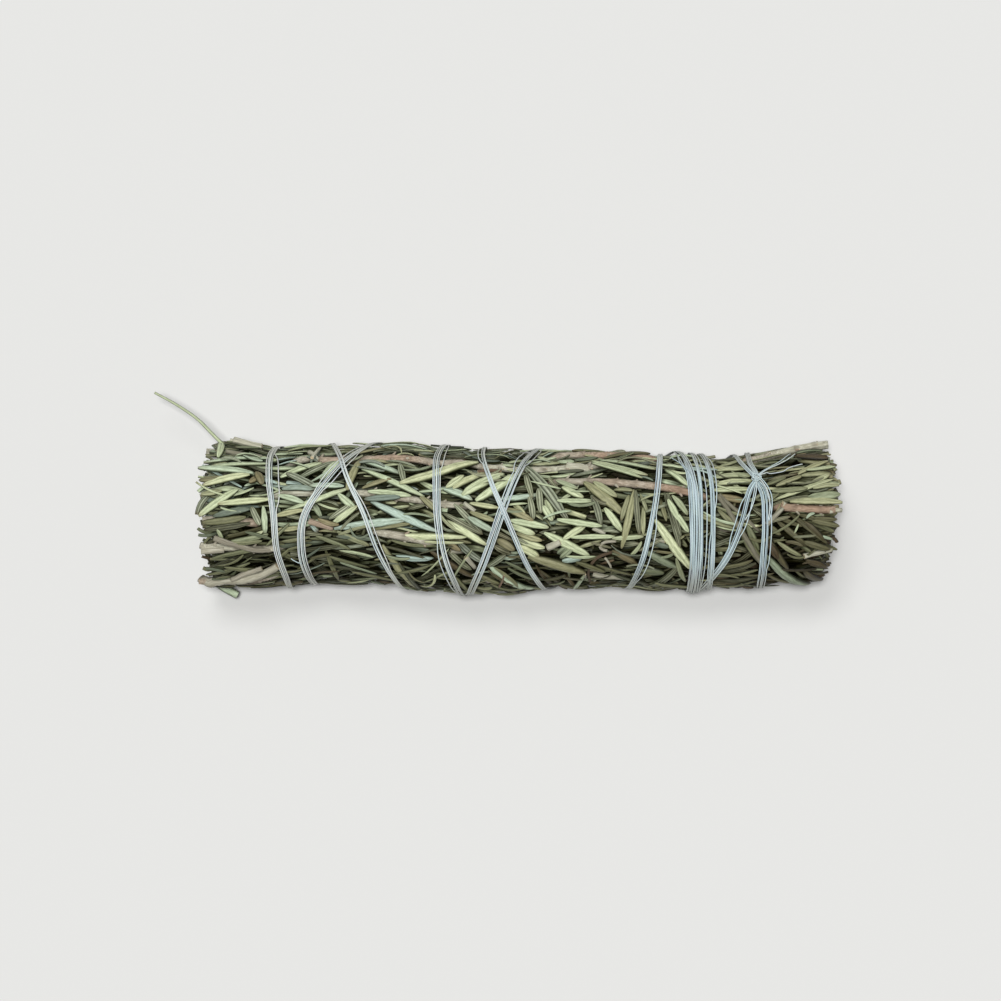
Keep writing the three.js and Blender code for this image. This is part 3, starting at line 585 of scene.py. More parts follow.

# The loose stalk that rises from the far edge, and a broken stub at the near edge: number of
# the sprig, radius at the start and at the end, tone, how dull it is, which also paints shade,
# and its way in mm
LOOSE_STALKS = [
    dict(sprig=0, radii=(0.5, 0.34), tone=0.35, dull=0.15,
         way=[(-82.5, 19.4, 24.5), (-84.8, 21.6, 23.8), (-90, 27, 23.6), (-96, 31, 23.2),
              (-102, 34.2, 22.6)]),
    dict(sprig=6, radii=(1.2, 1.1), tone=0.2, dull=0.0,
         way=[(-86, -18.5, 8.5), (-82.5, -20.9, 8.0), (-79.4, -22.6, 7.6)]),
]
STALK_SIDES = 10

# A leaf's colour over its tone, from blue-grey by sage and straw to red-brown, then that of its
# felted underside, and what darkens it: painted shade between leaves, dullness with painted shade
# on the near side, and painted shade in its grooves and at its edges
LEAF_BACKS = [
    (0.0, "C8DED6"),
    (0.2, "D6E6C6"),
    (0.35, "E0ECC4"),
    (0.5, "EAF0C4"),
    (0.65, "CACA9E"),
    (0.82, "ACA680"),
    (0.93, "A0906C"),
    (1.0, "8C755A"),
]
LEAF_FELTS = [(0.0, "D6E0D2"), (0.3, "DCE4C8"), (0.6, "DFE1BE"), (1.0, "C0B492")]
LEAF_SHADE = "2B2A14"
LEAF_DULL_AND_SHADE = "5B5634"
LEAF_GROOVE_SHADE = "3E4228"
TABLE_COLOUR = "DDDDDB"

# Two soft lights, one nearly overhead and one from beyond the far edge: tilts about X and Y
# in degrees, strength and how wide each looks in degrees. The room itself is pale.
LIGHTS = [("overhead_light", -2, -2, 2.5, 8), ("far_light", -19, -8, 0.82, 17)]
ROOM_STRENGTH = 0.07
TABLE_REACH = 3.0
SENSOR_WIDTH = 36.0


def along(values, x):
    """The value at x of a smooth line through values at even stations from end to end."""
    values = np.asarray(values, float)
    last = len(values) - 1
    share = np.clip((np.asarray(x, float) + STATION_END) / (2 * STATION_END), 0, 1) * last
    i = np.minimum(share.astype(int), last - 1)
    t = share - i
    a, b, c, d = (values[np.clip(i + k, 0, last)] for k in (-1, 0, 1, 2))
    return b + 0.5 * t * (c - a + t * (2 * a - 5 * b + 4 * c - d + t * (3 * (b - c) + d - a)))


def axis_y(x):
    return (along(EDGE_HIGH, x) + along(EDGE_LOW, x)) / 2


def thread_stations():
    """The winding order as one route: total angle wound, X, width and number of the pass."""
    stations = []
    turn = 0
    for number, (width, crossing) in enumerate(THREAD_PASSES):
        if crossing[0] is not None:
            turn += 1
        knot = (KNOT_ANGLE - 360 * turn, KNOT_X, KNOT_WIDTH, number)
        if crossing[0] is None:
            stations.append(knot)
        for a, x in zip(FRONT_ANGLES, crossing):
            if x is not None:
                stations.append((a - 360 * turn, x, width * (0.8 if abs(a) == 90 else 1), number))
        if len(crossing) < len(FRONT_ANGLES):
            stations.append(knot)
    kept = [stations[0]]
    for station in stations[1:]:
        if station[0] < kept[-1][0]:
            kept.append(station)
    return np.array(kept, float)


def thread_route(step):
    """Even steps of winding in degrees along the route, with X and width running smoothly."""
    wound, xs, widths, numbers = thread_stations().T
    slope = np.gradient(xs, wound)
    count = int(round((wound[0] - wound[-1]) / step)) + 1
    angle = np.linspace(wound[0], wound[-1], count)
    i = np.clip(np.searchsorted(-wound, -angle) - 1, 0, len(wound) - 2)
    span = wound[i + 1] - wound[i]
    t = (angle - wound[i]) / span
    x = (
        xs[i] * (1 + 2 * t) * (1 - t) ** 2
        + slope[i] * span * t * (1 - t) ** 2
        + xs[i + 1] * t * t * (3 - 2 * t)
        + slope[i + 1] * span * t * t * (t - 1)
    )
    return angle, x, widths[i] * (1 - t) + widths[i + 1] * t, numbers[i]


def columns_of(x):
    return np.clip(np.round((np.asarray(x) + GRID_END) / CELL).astype(int), 0, len(GRID_X) - 1)


def rows_of(arc):
    return np.round(np.asarray(arc) / TURN * ROWS).astype(int) % ROWS


def thread_distance_grid():
    """How far each cell is from the thread, as far as that is near."""
    near = np.full((len(GRID_X), ROWS), THREAD_FAR)
    reach = int(THREAD_NEAR / CELL)
    offsets = np.arange(-reach, reach + 1)
    angles, xs, _, _ = thread_route(4)
    for angle, x in zip(angles, xs):
        i = int(columns_of(x))
        j = int(rows_of(math.radians(angle) * MEAN_RADIUS))
        columns = np.clip(i + offsets, 0, len(GRID_X) - 1)
        distance = np.hypot((GRID_X[columns] - x)[:, None], (offsets * CELL)[None, :])
        window = np.ix_(columns, (j + offsets) % ROWS)
        near[window] = np.minimum(near[window], distance)
    return near


def outline_grid():
    """Radius of the bundle's outline: a lumpy oval that is drawn in under the thread."""
    x = GRID_X[:, None]
    a = (GRID_ARC / MEAN_RADIUS)[None, :]
    half_width = (along(EDGE_HIGH, x) - along(EDGE_LOW, x)) / 2
    oval = half_width * HALF_HEIGHT / np.hypot(HALF_HEIGHT * np.sin(a), half_width * np.cos(a))
    lumps = np.sin(x / 9 + 3 * a + 1.3) + np.sin(x / 14 - 2 * a + 0.4)
    below = np.maximum(0, -np.cos(a)) ** 3
    waist = WAIST_DEPTH + (WAIST_DEPTH_BELOW - WAIST_DEPTH) * below
    drawn = waist * np.exp(-((thread_distance_grid() / WAIST_REACH) ** 2))
    return oval + LUMP_HEIGHT * lumps * (1 - below) - drawn


OUTLINE = outline_grid()


def sample(grid, x, arc):
    """A grid's value at x and arc, blended between its cells."""
    u = np.clip((np.asarray(x, float) + GRID_END) / CELL, 0, len(GRID_X) - 1.001)
    v = np.asarray(arc, float) / TURN * ROWS
    i, j = u.astype(int), np.floor(v).astype(int)
    s, t = u - i, v - j
    j, k = j % ROWS, (j + 1) % ROWS
    low = grid[i, j] * (1 - t) + grid[i, k] * t
    high = grid[i + 1, j] * (1 - t) + grid[i + 1, k] * t
    return low * (1 - s) + high * s


def above_table(points):
    """What would sink into the table is pressed flat on it instead."""
    z = points[..., 2]
    pressed = PRESS_HEIGHT * np.exp(np.minimum(z - PRESS_HEIGHT, 0) / PRESS_HEIGHT)
    points[..., 2] = np.where(z < PRESS_HEIGHT, pressed, z)
    return points


def at_radius(x, arc, radius):
    angle = arc / MEAN_RADIUS
    y = axis_y(x) + radius * np.sin(angle)
    z = AXIS_HEIGHT + radius * np.cos(angle)
    return np.stack([x, y, z], axis=-1)


def on_bundle(x, arc, height):
    """The point at x and arc, a height above the outline."""
    x, arc = np.broadcast_arrays(np.asarray(x, float), np.asarray(arc, float))
    return at_radius(x, arc, sample(OUTLINE, x, arc) + height)


def outward_at(arc):
    angle = np.asarray(arc, float) / MEAN_RADIUS
    return np.stack([np.zeros_like(angle), np.sin(angle), np.cos(angle)], axis=-1)


def seen_at(px, py):
    """X and arc of the place on the bundle's front that the photo shows at a pixel."""
    centre = (PHOTO_SIZE / 2 - AXIS_PIXEL[0], AXIS_PIXEL[1] - PHOTO_SIZE / 2)
    camera = np.array(centre) * PHOTO_MM_PER_PIXEL
    view = np.array([px - PHOTO_SIZE / 2, PHOTO_SIZE / 2 - py]) * PHOTO_MM_PER_PIXEL
    arc = 0.0
    x = camera[0] + view[0]
    # Each round brings the place closer to where the line of sight meets the outline
    for _ in range(6):
        radius = float(sample(OUTLINE, x, arc))
        closer = 1 - radius * math.cos(arc / MEAN_RADIUS) / CAMERA_DISTANCE
        x, y = camera + view * closer
        arc = math.asin(np.clip((y - axis_y(x)) / radius, -0.98, 0.98)) * MEAN_RADIUS
    return float(x), arc


def front_share(arc):
    """1 straight above the axis, 0 at the far and near edges, negative on the back."""
    return np.cos(np.asarray(arc) / MEAN_RADIUS)


class Shape:
    """Gathers the points and faces of one piece, with the facts that its finishes read."""

    FACTS = ("tone", "groove", "felt", "across", "along", "dull", "end")

    def __init__(self):
        self.points = []
        self.faces = []
        self.finishes = []
        self.facts = {name: [] for name in self.FACTS}
        self.count = 0

    def add(self, points, faces, **facts):
        """faces is a list of (array of point numbers, number of the finish)."""
        for ring, finish in faces:
            self.faces.append(ring + self.count)
            self.finishes.append(np.full(len(ring), finish))
        for name in self.FACTS:
            values = np.broadcast_to(facts.get(name, 0.0), points.shape[:-1])
            self.facts[name].append(values.ravel())
        points = points.reshape(-1, 3)
        self.points.append(points)
        self.count += len(points)

    def make(self, name, materials, node, slot):
        """Makes all that was gathered one piece, in place of a node."""
        points = np.concatenate(self.points)
        self.facts["shade"] = [shade_at(points)]
        points = above_table(points) * MM
        corners = np.concatenate([f.ravel() for f in self.faces])
        sizes = np.concatenate([np.full(len(f), f.shape[1]) for f in self.faces])
        mesh = bpy.data.meshes.new(name)
        mesh.vertices.add(len(points))
        mesh.vertices.foreach_set("co", points.ravel())
        mesh.loops.add(len(corners))
        mesh.loops.foreach_set("vertex_index", corners)
        mesh.polygons.add(len(sizes))
        mesh.polygons.foreach_set("loop_start", np.concatenate([[0], np.cumsum(sizes)[:-1]]))
        mesh.polygons.foreach_set("material_index", np.concatenate(self.finishes))
        mesh.polygons.foreach_set("use_smooth", sizes <= 4)
        for fact, values in self.facts.items():
            layer = mesh.attributes.new(fact, "FLOAT", "POINT")
            layer.data.foreach_set("value", np.concatenate(values).astype(np.float32))
        for material in materials:
            mesh.materials.append(material)
        mesh.update(calc_edges=True)
        mesh.validate()
        piece = bpy.data.objects.new(name, mesh)
        bpy.context.scene.collection.objects.link(piece)
        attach(piece, "root")
        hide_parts(node)


def tube_faces(count, rings, sides):
    """Sides of several tubes with the same number of rings, then their two closing ends."""
    ring, side = np.meshgrid(np.arange(rings - 1), np.arange(sides), indexing="ij")
    following = (side + 1) % sides
    near, far = ring * sides, (ring + 1) * sides
    quads = np.stack([near + side, far + side, far + following, near + following], axis=-1)
    first = np.arange(count)[:, None] * rings * sides
    walls = (first[:, :, None] + quads.reshape(1, -1, 4)).reshape(-1, 4)
    starts = first + np.arange(sides)[None]
    ends = first + (rings - 1) * sides + np.arange(sides)[::-1][None]
    return walls, starts, ends


def sweep(centres, outward, section, across_size, up_size, roll=0.0):
    """Rings of a section round lines of points: sizes and roll may change along a line."""
    forward = np.gradient(centres, axis=-2)
    forward /= np.linalg.norm(forward, axis=-1, keepdims=True) + 1e-9
    across = np.cross(forward, outward)
    across /= np.linalg.norm(across, axis=-1, keepdims=True) + 1e-9
    up = np.cross(across, forward)
    c, s = np.cos(roll)[..., None], np.sin(roll)[..., None]
    turned_across = across * c + up * s
    turned_up = up * c - across * s
    u = (section[..., 0] * np.asarray(across_size)[..., None])[..., None]
    v = (section[..., 1] * np.asarray(up_size)[..., None])[..., None]
    return centres[..., None, :] + u * turned_across[..., None, :] + v * turned_up[..., None, :]


def round_section(sides):
    angle = np.arange(sides) * 2 * math.pi / sides
    return np.stack([np.cos(angle), np.sin(angle)], axis=-1)


def distances_along(line):
    """How far along a line each of its points lies."""
    return np.concatenate([[0], np.cumsum(np.linalg.norm(np.diff(line, axis=0), axis=1))])


def smoothed(values, reach):
    """A running mean over reach places to either side, along the last axis."""
    spread = [(0, 0)] * (values.ndim - 1) + [(reach, reach)]
    padded = np.pad(values, spread, mode="edge")
    size = values.shape[-1]
    return np.mean([padded[..., k : k + size] for k in range(2 * reach + 1)], axis=0)


# The pile: how high above the outline the stems and leaves laid so far reach, in each cell
pile = np.full(OUTLINE.shape, -CORE_DEPTH)
closed_to_leaves = np.zeros(OUTLINE.shape, bool)


def pile_at(x, arc):
    return pile[columns_of(x), rows_of(arc)]


def lay_on_pile(x, arc, top):
    """From now on the pile reaches at least this top at each of the places."""
    np.maximum.at(pile, (columns_of(x), rows_of(arc)), top)


def is_bare(sprig, x):
    return any(a < x < b for a, b in sprig["bare"])


def stem_depth(sprig, x):
    """How deep a stem's middle lies: outside where it is bare, under its leaves elsewhere."""
    x = np.asarray(x, float)
    away = np.min([np.maximum(np.maximum(a - x, x - b), 0) for a, b in sprig["bare"]], axis=0)
    rise = np.minimum(1, away / STEM_RISE)
    rise = rise * rise * (3 - 2 * rise)
    return STEM_DEPTH_BARE + (STEM_DEPTH_LEAFY - STEM_DEPTH_BARE) * rise


def stem_arc(sprig, x):
    wave = 0.25 * np.sin(np.asarray(x) / 6.1 + sprig["phase"]) + 0.15 * np.sin(np.asarray(x) / 2.7)
    return np.radians(along(sprig["angles"], x)) * MEAN_RADIUS + wave


def stem_radius(sprig, x):
    butt = sprig["start"] if sprig["grows"] > 0 else sprig["end"]
    share = np.abs(np.asarray(x) - butt) / (sprig["end"] - sprig["start"])
    return STEM_RADIUS * (1 - STEM_TAPER * share) * sprig["stout"]


def add_stem(shape, centres, outward, radius, tone, swelling=0.0, dull=0.0):
    """A stem with a rough ridged bark and two cut ends, pale in the middle."""
    count = len(centres)
    rough = smoothed(random.normal(0, 1, (STEM_SIDES, count)), 4).T
    section = round_section(STEM_SIDES) * (1 + 0.1 * rough)[..., None]
    rings = sweep(centres, outward, section, radius, radius)
    walls, starts, ends = tube_faces(1, count, STEM_SIDES)
    distance = distances_along(centres)
    shape.add(
        rings,
        [(walls, BARK), (starts, CUT_WOOD), (ends, CUT_WOOD)],
        tone=np.clip(np.asarray(tone) + np.zeros(count), 0, 1)[:, None],
        groove=np.asarray(swelling + np.zeros(count))[:, None],
        across=np.arange(STEM_SIDES) / STEM_SIDES,
        along=(distance + random.uniform(0, 90))[:, None],
        dull=dull,
    )


def add_leaf_scars(shape, centres, outward, radius, nodes):
    """The short broken stalks of lost leaves, in pairs at a bare stem's nodes."""
    for i in nodes:
        forward = centres[i + 1] - centres[i]
        forward /= np.linalg.norm(forward)
        across = np.cross(forward, outward[i])
        turn = random.uniform(-0.9, 0.9)
        for side in (1, -1):
            out = side * across * math.cos(turn) + outward[i] * abs(math.sin(turn)) * 0.8
            length = random.uniform(0.5, 1.5)
            steps = np.linspace(0, 1, len(SCAR_RADII))[:, None]
            line = centres[i] + out * (radius[i] * 0.8) + (0.8 * forward + out) * steps * length
            size = SCAR_RADII * random.uniform(0.8, 1.2)
            rings = sweep(line, outward[i][None], round_section(SCAR_SIDES), size, size)
            walls, starts, ends = tube_faces(1, len(size), SCAR_SIDES)
            faces = [(walls, BARK), (starts, BARK), (ends, CUT_WOOD)]
            shape.add(rings, faces, tone=random.uniform(0.1, 0.6), groove=0.5)


def lay_stem(sprig, shape):
    """A sprig's woody stem, swollen at its leaf nodes."""
    count = int((sprig["end"] - sprig["start"]) / STEM_STEP)
    x = np.linspace(sprig["start"], sprig["end"], count)
    arc = stem_arc(sprig, x)
    radius = stem_radius(sprig, x)
    nodes = np.arange(sprig["start"] + 3, sprig["end"] - 3, 1.6 * NODE_SPACING)
    nodes = nodes + random.normal(0, 0.8, len(nodes))
    swelling = np.exp(-(((x[:, None] - nodes[None]) / 0.7) ** 2)).max(axis=1)
    thick = radius * (1 + 0.16 * swelling + 0.02 * np.sin(x * 1.7 + sprig["phase"]))
    height = along(sprig.get("proud", [0, 0]), x) - stem_depth(sprig, x)
    centres = on_bundle(x, arc, height)
    tone = along(sprig.get("tones", [sprig["tone"]] * 3), x)
    tone = tone + 0.15 * np.sin(x / 11 + sprig["phase"]) + 0.1 * np.sin(x / 3.1)
    add_stem(shape, centres, outward_at(arc), thick, tone, swelling)
    bare_nodes = [min(int(np.argmin(abs(x - n))), count - 2) for n in nodes if is_bare(sprig, n)]
    add_leaf_scars(shape, centres, outward_at(arc), radius, bare_nodes)
    bare = [is_bare(sprig, value) for value in x]
    for offset in np.arange(-STEM_CLEARANCE, STEM_CLEARANCE + 0.01, CELL / 2):
        inside = np.abs(offset) < radius
        top = height + np.sqrt(np.maximum(radius**2 - offset**2, 0))
        lay_on_pile(x[inside], arc[inside] + offset, top[inside])
        closed_to_leaves[columns_of(x[bare]), rows_of(arc[bare] + offset)] = True


def footprint(leaf, spacing):
    """Places under a leaf: share of its length, x and arc."""
    t = np.arange(0, 1 + 1e-6, spacing / leaf["length"])
    w = np.linspace(-0.8, 0.8, 5) * leaf["half_width"]
    t, w = (grid.ravel() for grid in np.meshgrid(t, w, indexing="ij"))
    s = t * leaf["length"]
    side = w * np.interp(t, [0, 0.3, 0.75, 1], [0.5, 1, 0.9, 0.2]) + leaf["bow"] * 4 * t * (1 - t)
    c, n = math.cos(leaf["heading"]), math.sin(leaf["heading"])
    return t, leaf["x"] + leaf["grows"] * (s * c - side * n), leaf["arc"] + s * n + side * c


def lay_leaf(leaf, root, ceiling, pressed=False):
    """Rests a leaf on the pile, from its root's height. Says whether it had room.

    A pressed leaf may cross the stems, and sinks in where there is no room for it.
    """
    t, x, arc = footprint(leaf, TESTED_SPACING)
    i, j = columns_of(x), rows_of(arc)
    free = t > ROOT_SHARE
    if closed_to_leaves[i[free], j[free]].any() and not pressed:
        return False
    under = pile[i, j] + LEAF_THICKNESS / 2 - leaf["sink"]
    if root is None:
        root = under[t < 0.2].max()
    slope = max(((under[free] - root) / t[free]).max(), -0.9)
    if pressed:
        root = min(root, ceiling)
        slope = min(slope, ceiling - root)
    if root + max(slope, 0) > ceiling + 1e-6:
        return False
    leaf["root"] = root
    leaf["tip"] = root + slope
    t, x, arc = footprint(leaf, NOTED_SPACING)
    lay_on_pile(x, arc, root + slope * t + LEAF_THICKNESS / 2)
    return True


def ceiling_at(arc):
    """Leaves on the front stay low, so that those that stand out can lie over them."""
    return FRONT_CEILING if front_share(arc) > 0.1 else BACK_CEILING


def end_at(arc, grows):
    """X that the leaf tips reach at one end."""
    angle = (math.degrees(arc / MEAN_RADIUS) + 180) % 360 - 180
    angle = angle if abs(angle) <= 90 else math.copysign(180, angle) - angle
    ends = RIGHT_END if grows > 0 else LEFT_END
    return float(np.interp(-angle, [-a for a in FRONT_ANGLES], ends))


def dullness_and_painted_shade_at(x, arc):
    """Painted shade on the near side and its ends, and dullness at the far edge and the right end.
    """
    # Painted shade: darker towards the near side, which faces away from the light
    dullness_and_shade = 0.5 - 0.5 * math.sin(arc / MEAN_RADIUS)
    dullness_and_shade += 0.6 * np.clip((abs(x) - 42) / 20, 0, 1) * np.clip(-arc / 6, 0, 1)
    dullness_and_shade += 0.35 * np.clip((arc - 17) / 6, 0, 1)
    dullness_and_shade += 0.35 * np.clip((x - 52) / 20, 0, 1) * np.clip(arc / 6, 0, 1)
    return dullness_and_shade


def new_leaf(x, arc, grows, lean, length):
    """A leaf with a chance size, bow, roll and colour, cut short at the bundle's end."""
    end = end_at(arc, grows) + random.uniform(-3, 0.5) * grows
    room = grows * (end - x) / max(math.cos(math.radians(lean)), 0.2)
    cut = room < length or random.random() < 0.1
    dullness_and_shade = dullness_and_painted_shade_at(x, arc)
    return dict(
        x=x,
        arc=arc,
        grows=grows,
        heading=math.radians(lean),
        length=min(length, room),
        cut=1.0 if cut else random.uniform(0, 0.3),
        fullness=random.uniform(0.2, 1.0),
        half_width=LEAF_HALF_WIDTH * random.uniform(0.45, 1.12),
        bow=random.normal(0, 0.7),
        lift=random.uniform(-0.1, 0.3),
        roll=random.normal(0, 0.35) + (math.pi if random.random() < 0.33 else 0),
        twist=random.normal(0, 0.4),
        tone=float(np.clip(random.normal(0.34 + 0.18 * dullness_and_shade + 0.0018 * x, 0.2), 0, 1)),
        dull=float(np.clip(random.normal(-0.32 + 1.35 * dullness_and_shade, 0.48), 0, 1)),
        sink=random.uniform(0.05, 0.3),
        browning=random.uniform(0, 1) ** 3,
    )


def grow_leaves(sprigs, leaves):
    """Leaves in pairs from the tip of each stem back to its butt, so that they overlap."""
    rounds = []
    for number, sprig in enumerate(sprigs):
        span = sprig["end"] - sprig["start"] - 4
        for k, step in enumerate(np.arange(0, span, NODE_SPACING)):
            x = sprig["end"] - 3 - step if sprig["grows"] > 0 else sprig["start"] + 3 + step
            rounds.append((k + random.uniform(-0.5, 0.5), number, x + random.normal(0, 0.6)))
    for _, number, x in sorted(rounds * 2):
        sprig = sprigs[number]
        if is_bare(sprig, x):
            continue
        for side in (1, -1):
            for attempt in range(LEAF_TRIES):
                wild = random.random() < WILD_SHARE
                lean = random.uniform(40, 80) if wild else random.uniform(2, 34 - 3.5 * attempt)
                length = LEAF_LENGTH * random.uniform(0.6, 1.12) * (0.6 if wild else 1)
                arc = float(stem_arc(sprig, x)) + side * random.uniform(0.2, 1.6)
                leaf = new_leaf(x, arc, sprig["grows"], side * lean, length)
                if leaf["length"] < SHORTEST_LEAF:
                    break
                ceiling = ceiling_at(arc)
                base = float(pile_at(x, arc))
                root = max(-float(stem_depth(sprig, x)), base - 0.2)
                if lay_leaf(leaf, min(root, ceiling - 0.3), ceiling):
                    leaf["sprig"] = number
                    leaves.append(leaf)
                    break


def raise_pile(leaves):
    """Once every leaf lies in place, the pile takes in the full height of their rounded backs."""
    for leaf in leaves:
        t, x, arc = footprint(leaf, NOTED_SPACING)
        back = BACK_HEIGHT * leaf["half_width"] * np.sqrt(np.interp(t, RINGS, EVEN))
        middle = leaf["root"] + (leaf["tip"] - leaf["root"]) * t
        lift = max(leaf["lift"], 0) * 4 * t * (1 - t)
        lay_on_pile(x, arc, middle + lift + back)


def sprig_at(x, arc):
    """The outer sprig whose stem is nearest to a place."""
    middles = [float(stem_arc(sprig, x)) for sprig in OUTER_SPRIGS]
    gaps = [abs((arc - middle + TURN / 2) % TURN - TURN / 2) for middle in middles]
    return int(np.argmin(gaps))


def fill_hollows(leaves, tries, rise, around, slim, short):
    """Leaves from deeper in the bundle, which lie in the lowest places that are left."""
    for _ in range(tries):
        x = random.uniform(-STATION_END, STATION_END, HOLLOW_CHOICE)
        arc = random.uniform(-around, around, HOLLOW_CHOICE)
        lowest = int(np.argmin(pile_at(x, arc)))
        x, arc = float(x[lowest]), float(arc[lowest])
        grows = 1 if random.random() < 0.5 + x / 140 else -1
        lean = random.normal(0, 26)
        length = LEAF_LENGTH * random.uniform(0.5, 1.05) * short
        half = length / 2 * math.cos(math.radians(lean))
        leaf = new_leaf(x - grows * half, arc, grows, lean, length)
        leaf["arc"] -= length / 2 * math.sin(math.radians(lean))
        leaf["half_width"] *= slim
        if leaf["length"] > SHORTEST_LEAF * short and lay_leaf(leaf, None, ceiling_at(arc) + rise):
            leaf["sprig"] = sprig_at(x, arc)
            leaves.append(leaf)


def brown_and_shade_at(x, arc, dull):
    """How much browner and duller a leaf is made by the right end, and darker along the near edge
    as painted shade.
    """
    if x > 55 and arc < 1 and dull > 0.1:
        return 1.0
    if x > 62:
        return 0.5
    return 0.25 if arc < -8 else 0.0


def lay_seen_leaves(leaves):
    """The leaves that stand out in the photo, pressed in over those that are laid so far."""
    for px, py, tip_px, tip_py, width, underside, tone, dull in LEAVES_SEEN:
        x, arc = seen_at(px, py)
        tip_x, tip_arc = seen_at(tip_px, tip_py)
        tip_x += SEEN_STRETCH * (tip_x - x)
        tip_arc += SEEN_STRETCH * (tip_arc - arc)
        grows = 1 if tip_x > x else -1
        dull = 1 - (1 - dull) ** 2.5
        brown_and_shade = brown_and_shade_at(x, arc, dull)
        leaf = dict(
            x=x,
            arc=arc,
            grows=grows,
            heading=math.atan2(tip_arc - arc, abs(tip_x - x)),
            length=math.hypot(tip_x - x, tip_arc - arc),
            cut=random.uniform(0, 0.25),
            fullness=random.uniform(0.0, 0.5),
            half_width=width * PHOTO_MM_PER_PIXEL / 2 * SEEN_WIDENING,
            bow=random.normal(0, 0.2),
            lift=0.1,
            roll=random.normal(0, 0.12) + math.pi * underside,
            twist=random.normal(0, 0.1),
            tone=float(np.clip(tone + 0.12 * brown_and_shade + 0.0016 * min(x, 0), 0, 0.97)),
            dull=min(dull + 0.5 * brown_and_shade, 1.0),
            sink=0.25,
            browning=random.uniform(0, 0.7),
        )
        lay_leaf(leaf, None, SEEN_CEILING, pressed=True)
        leaf["sprig"] = sprig_at((x + tip_x) / 2, (arc + tip_arc) / 2)
        leaves.append(leaf)


def lay_slivers(leaves):
    """Narrow bowed leaves that lie loosely across the others on the front."""
    for _ in range(SLIVER_TRIES):
        x = random.uniform(-82, 80)
        arc = random.uniform(-27, 25)
        grows = 1 if random.random() < 0.5 + x / 140 else -1
        lean = random.normal(0, 24)
        leaf = new_leaf(x, arc, grows, lean, random.uniform(5, 13))
        leaf["half_width"] = random.uniform(0.3, 0.6)
        leaf["bow"] = random.normal(0, 0.9)
        if leaf["length"] > SHORTEST_LEAF and lay_leaf(leaf, None, SLIVER_CEILING):
            leaf["sprig"] = sprig_at(x, arc)
            leaves.append(leaf)


def column(leaves, key):
    return np.array([leaf[key] for leaf in leaves], float)[:, None]


def shade_grid():
    """How high the finished pile stands round each cell, between its mean and its top."""
    reach = range(-SHADE_REACH, SHADE_REACH + 1)
    shifted = [np.roll(pile, (i, j), axis=(0, 1)) for i in reach for j in reach]
    return (np.mean(shifted, axis=0) + np.max(shifted, axis=0)) / 2


def shade_at(points):
    """How deep between its neighbours each point lies, from 0 in the open to 1."""
    x = points[..., 0]
    y = points[..., 1] - axis_y(x)
    z = points[..., 2] - AXIS_HEIGHT
    arc = np.arctan2(y, z) * MEAN_RADIUS
    height = np.hypot(y, z) - sample(OUTLINE, x, arc)
    below = sample(shade_grid(), x, arc) - height
    shade = np.clip((below - SHADE_FREE) / SHADE_DEPTH, 0, 1)
    # Light also reaches the two open ends from the side
    end = np.clip((np.abs(x) - 78) / 6, 0, 1)
    lit = end * (0.3 + 0.65 * np.clip(below / 2 - 1, 0, 1))
    return shade * (1 - lit)


def add_leaves(shape, leaves, fine=True):
    """Adds the leaves, each swept along its own bowed line on the bundle."""
    if not leaves:
        return
    t = RINGS if fine else FEW_RINGS
    section = LEAF_SECTION if fine else PLAIN_SECTION
    groove = SECTION_GROOVE_SHADE if fine else PLAIN_GROOVE_SHADE
    felt = SECTION_FELT if fine else PLAIN_FELT
    grows, heading, length = (column(leaves, key) for key in ("grows", "heading", "length"))
    s = t[None] * length
    side = column(leaves, "bow") * 4 * t * (1 - t)
    x = column(leaves, "x") + grows * (s * np.cos(heading) - side * np.sin(heading))
    arc = column(leaves, "arc") + s * np.sin(heading) + side * np.cos(heading)
    root, tip = column(leaves, "root"), column(leaves, "tip")
    height = root + (tip - root) * t + column(leaves, "lift") * 4 * t * (1 - t)
    centres = on_bundle(x, arc, height)
    cut, fullness = column(leaves, "cut"), column(leaves, "fullness")
    whole = np.interp(t, RINGS, SPINDLE) * (1 - fullness) + np.interp(t, RINGS, EVEN) * fullness
    width = whole * (1 - cut) + np.interp(t, RINGS, CUT_OFF) * cut
    roll = column(leaves, "roll") + column(leaves, "twist") * (t - 0.5)
    half_width = column(leaves, "half_width") * (1 + 0.05 * np.sin(s * 1.3 + length * 7))
    thick = half_width * np.sqrt(width)
    rings = sweep(centres, outward_at(arc), section, width * half_width, thick, roll)
    walls, starts, ends = tube_faces(len(leaves), len(t), len(section))
    browning = column(leaves, "browning") * np.clip((t - 0.8) / 0.2, 0, 1) ** 1.5
    shape.add(
        rings,
        [(walls, LEAF), (starts, LEAF), (ends, LEAF)],
        tone=column(leaves, "tone")[..., None],
        groove=groove,
        felt=felt,
        across=section[:, 0],
        along=(s + 31 * column(leaves, "tone"))[..., None],
        dull=column(leaves, "dull")[..., None] * MOST_DULL_AND_SHADE,
        end=browning[..., None],
    )


def shown_share(leaf):
    """How much of a leaf nothing else in the pile covers."""
    t, x, arc = footprint(leaf, 1.0)
    top = leaf["root"] + (leaf["tip"] - leaf["root"]) * t + LEAF_THICKNESS / 2
    return float(np.mean(pile_at(x, arc) < top + 0.25))


def add_block(shape, top, floor, finish):
    """A strip between two grids of points, closed all round."""
    rings = np.concatenate([top, floor[:, ::-1]], axis=1)
    walls, starts, ends = tube_faces(1, *rings.shape[:2])
    sides = rings.shape[1]
    shape.add(
        rings,
        [(walls, finish), (starts, finish), (ends, finish)],
        tone=random.uniform(0, 1, sides),
        across=np.arange(sides) * 0.5,
        along=rings[:, :1, 0],
    )


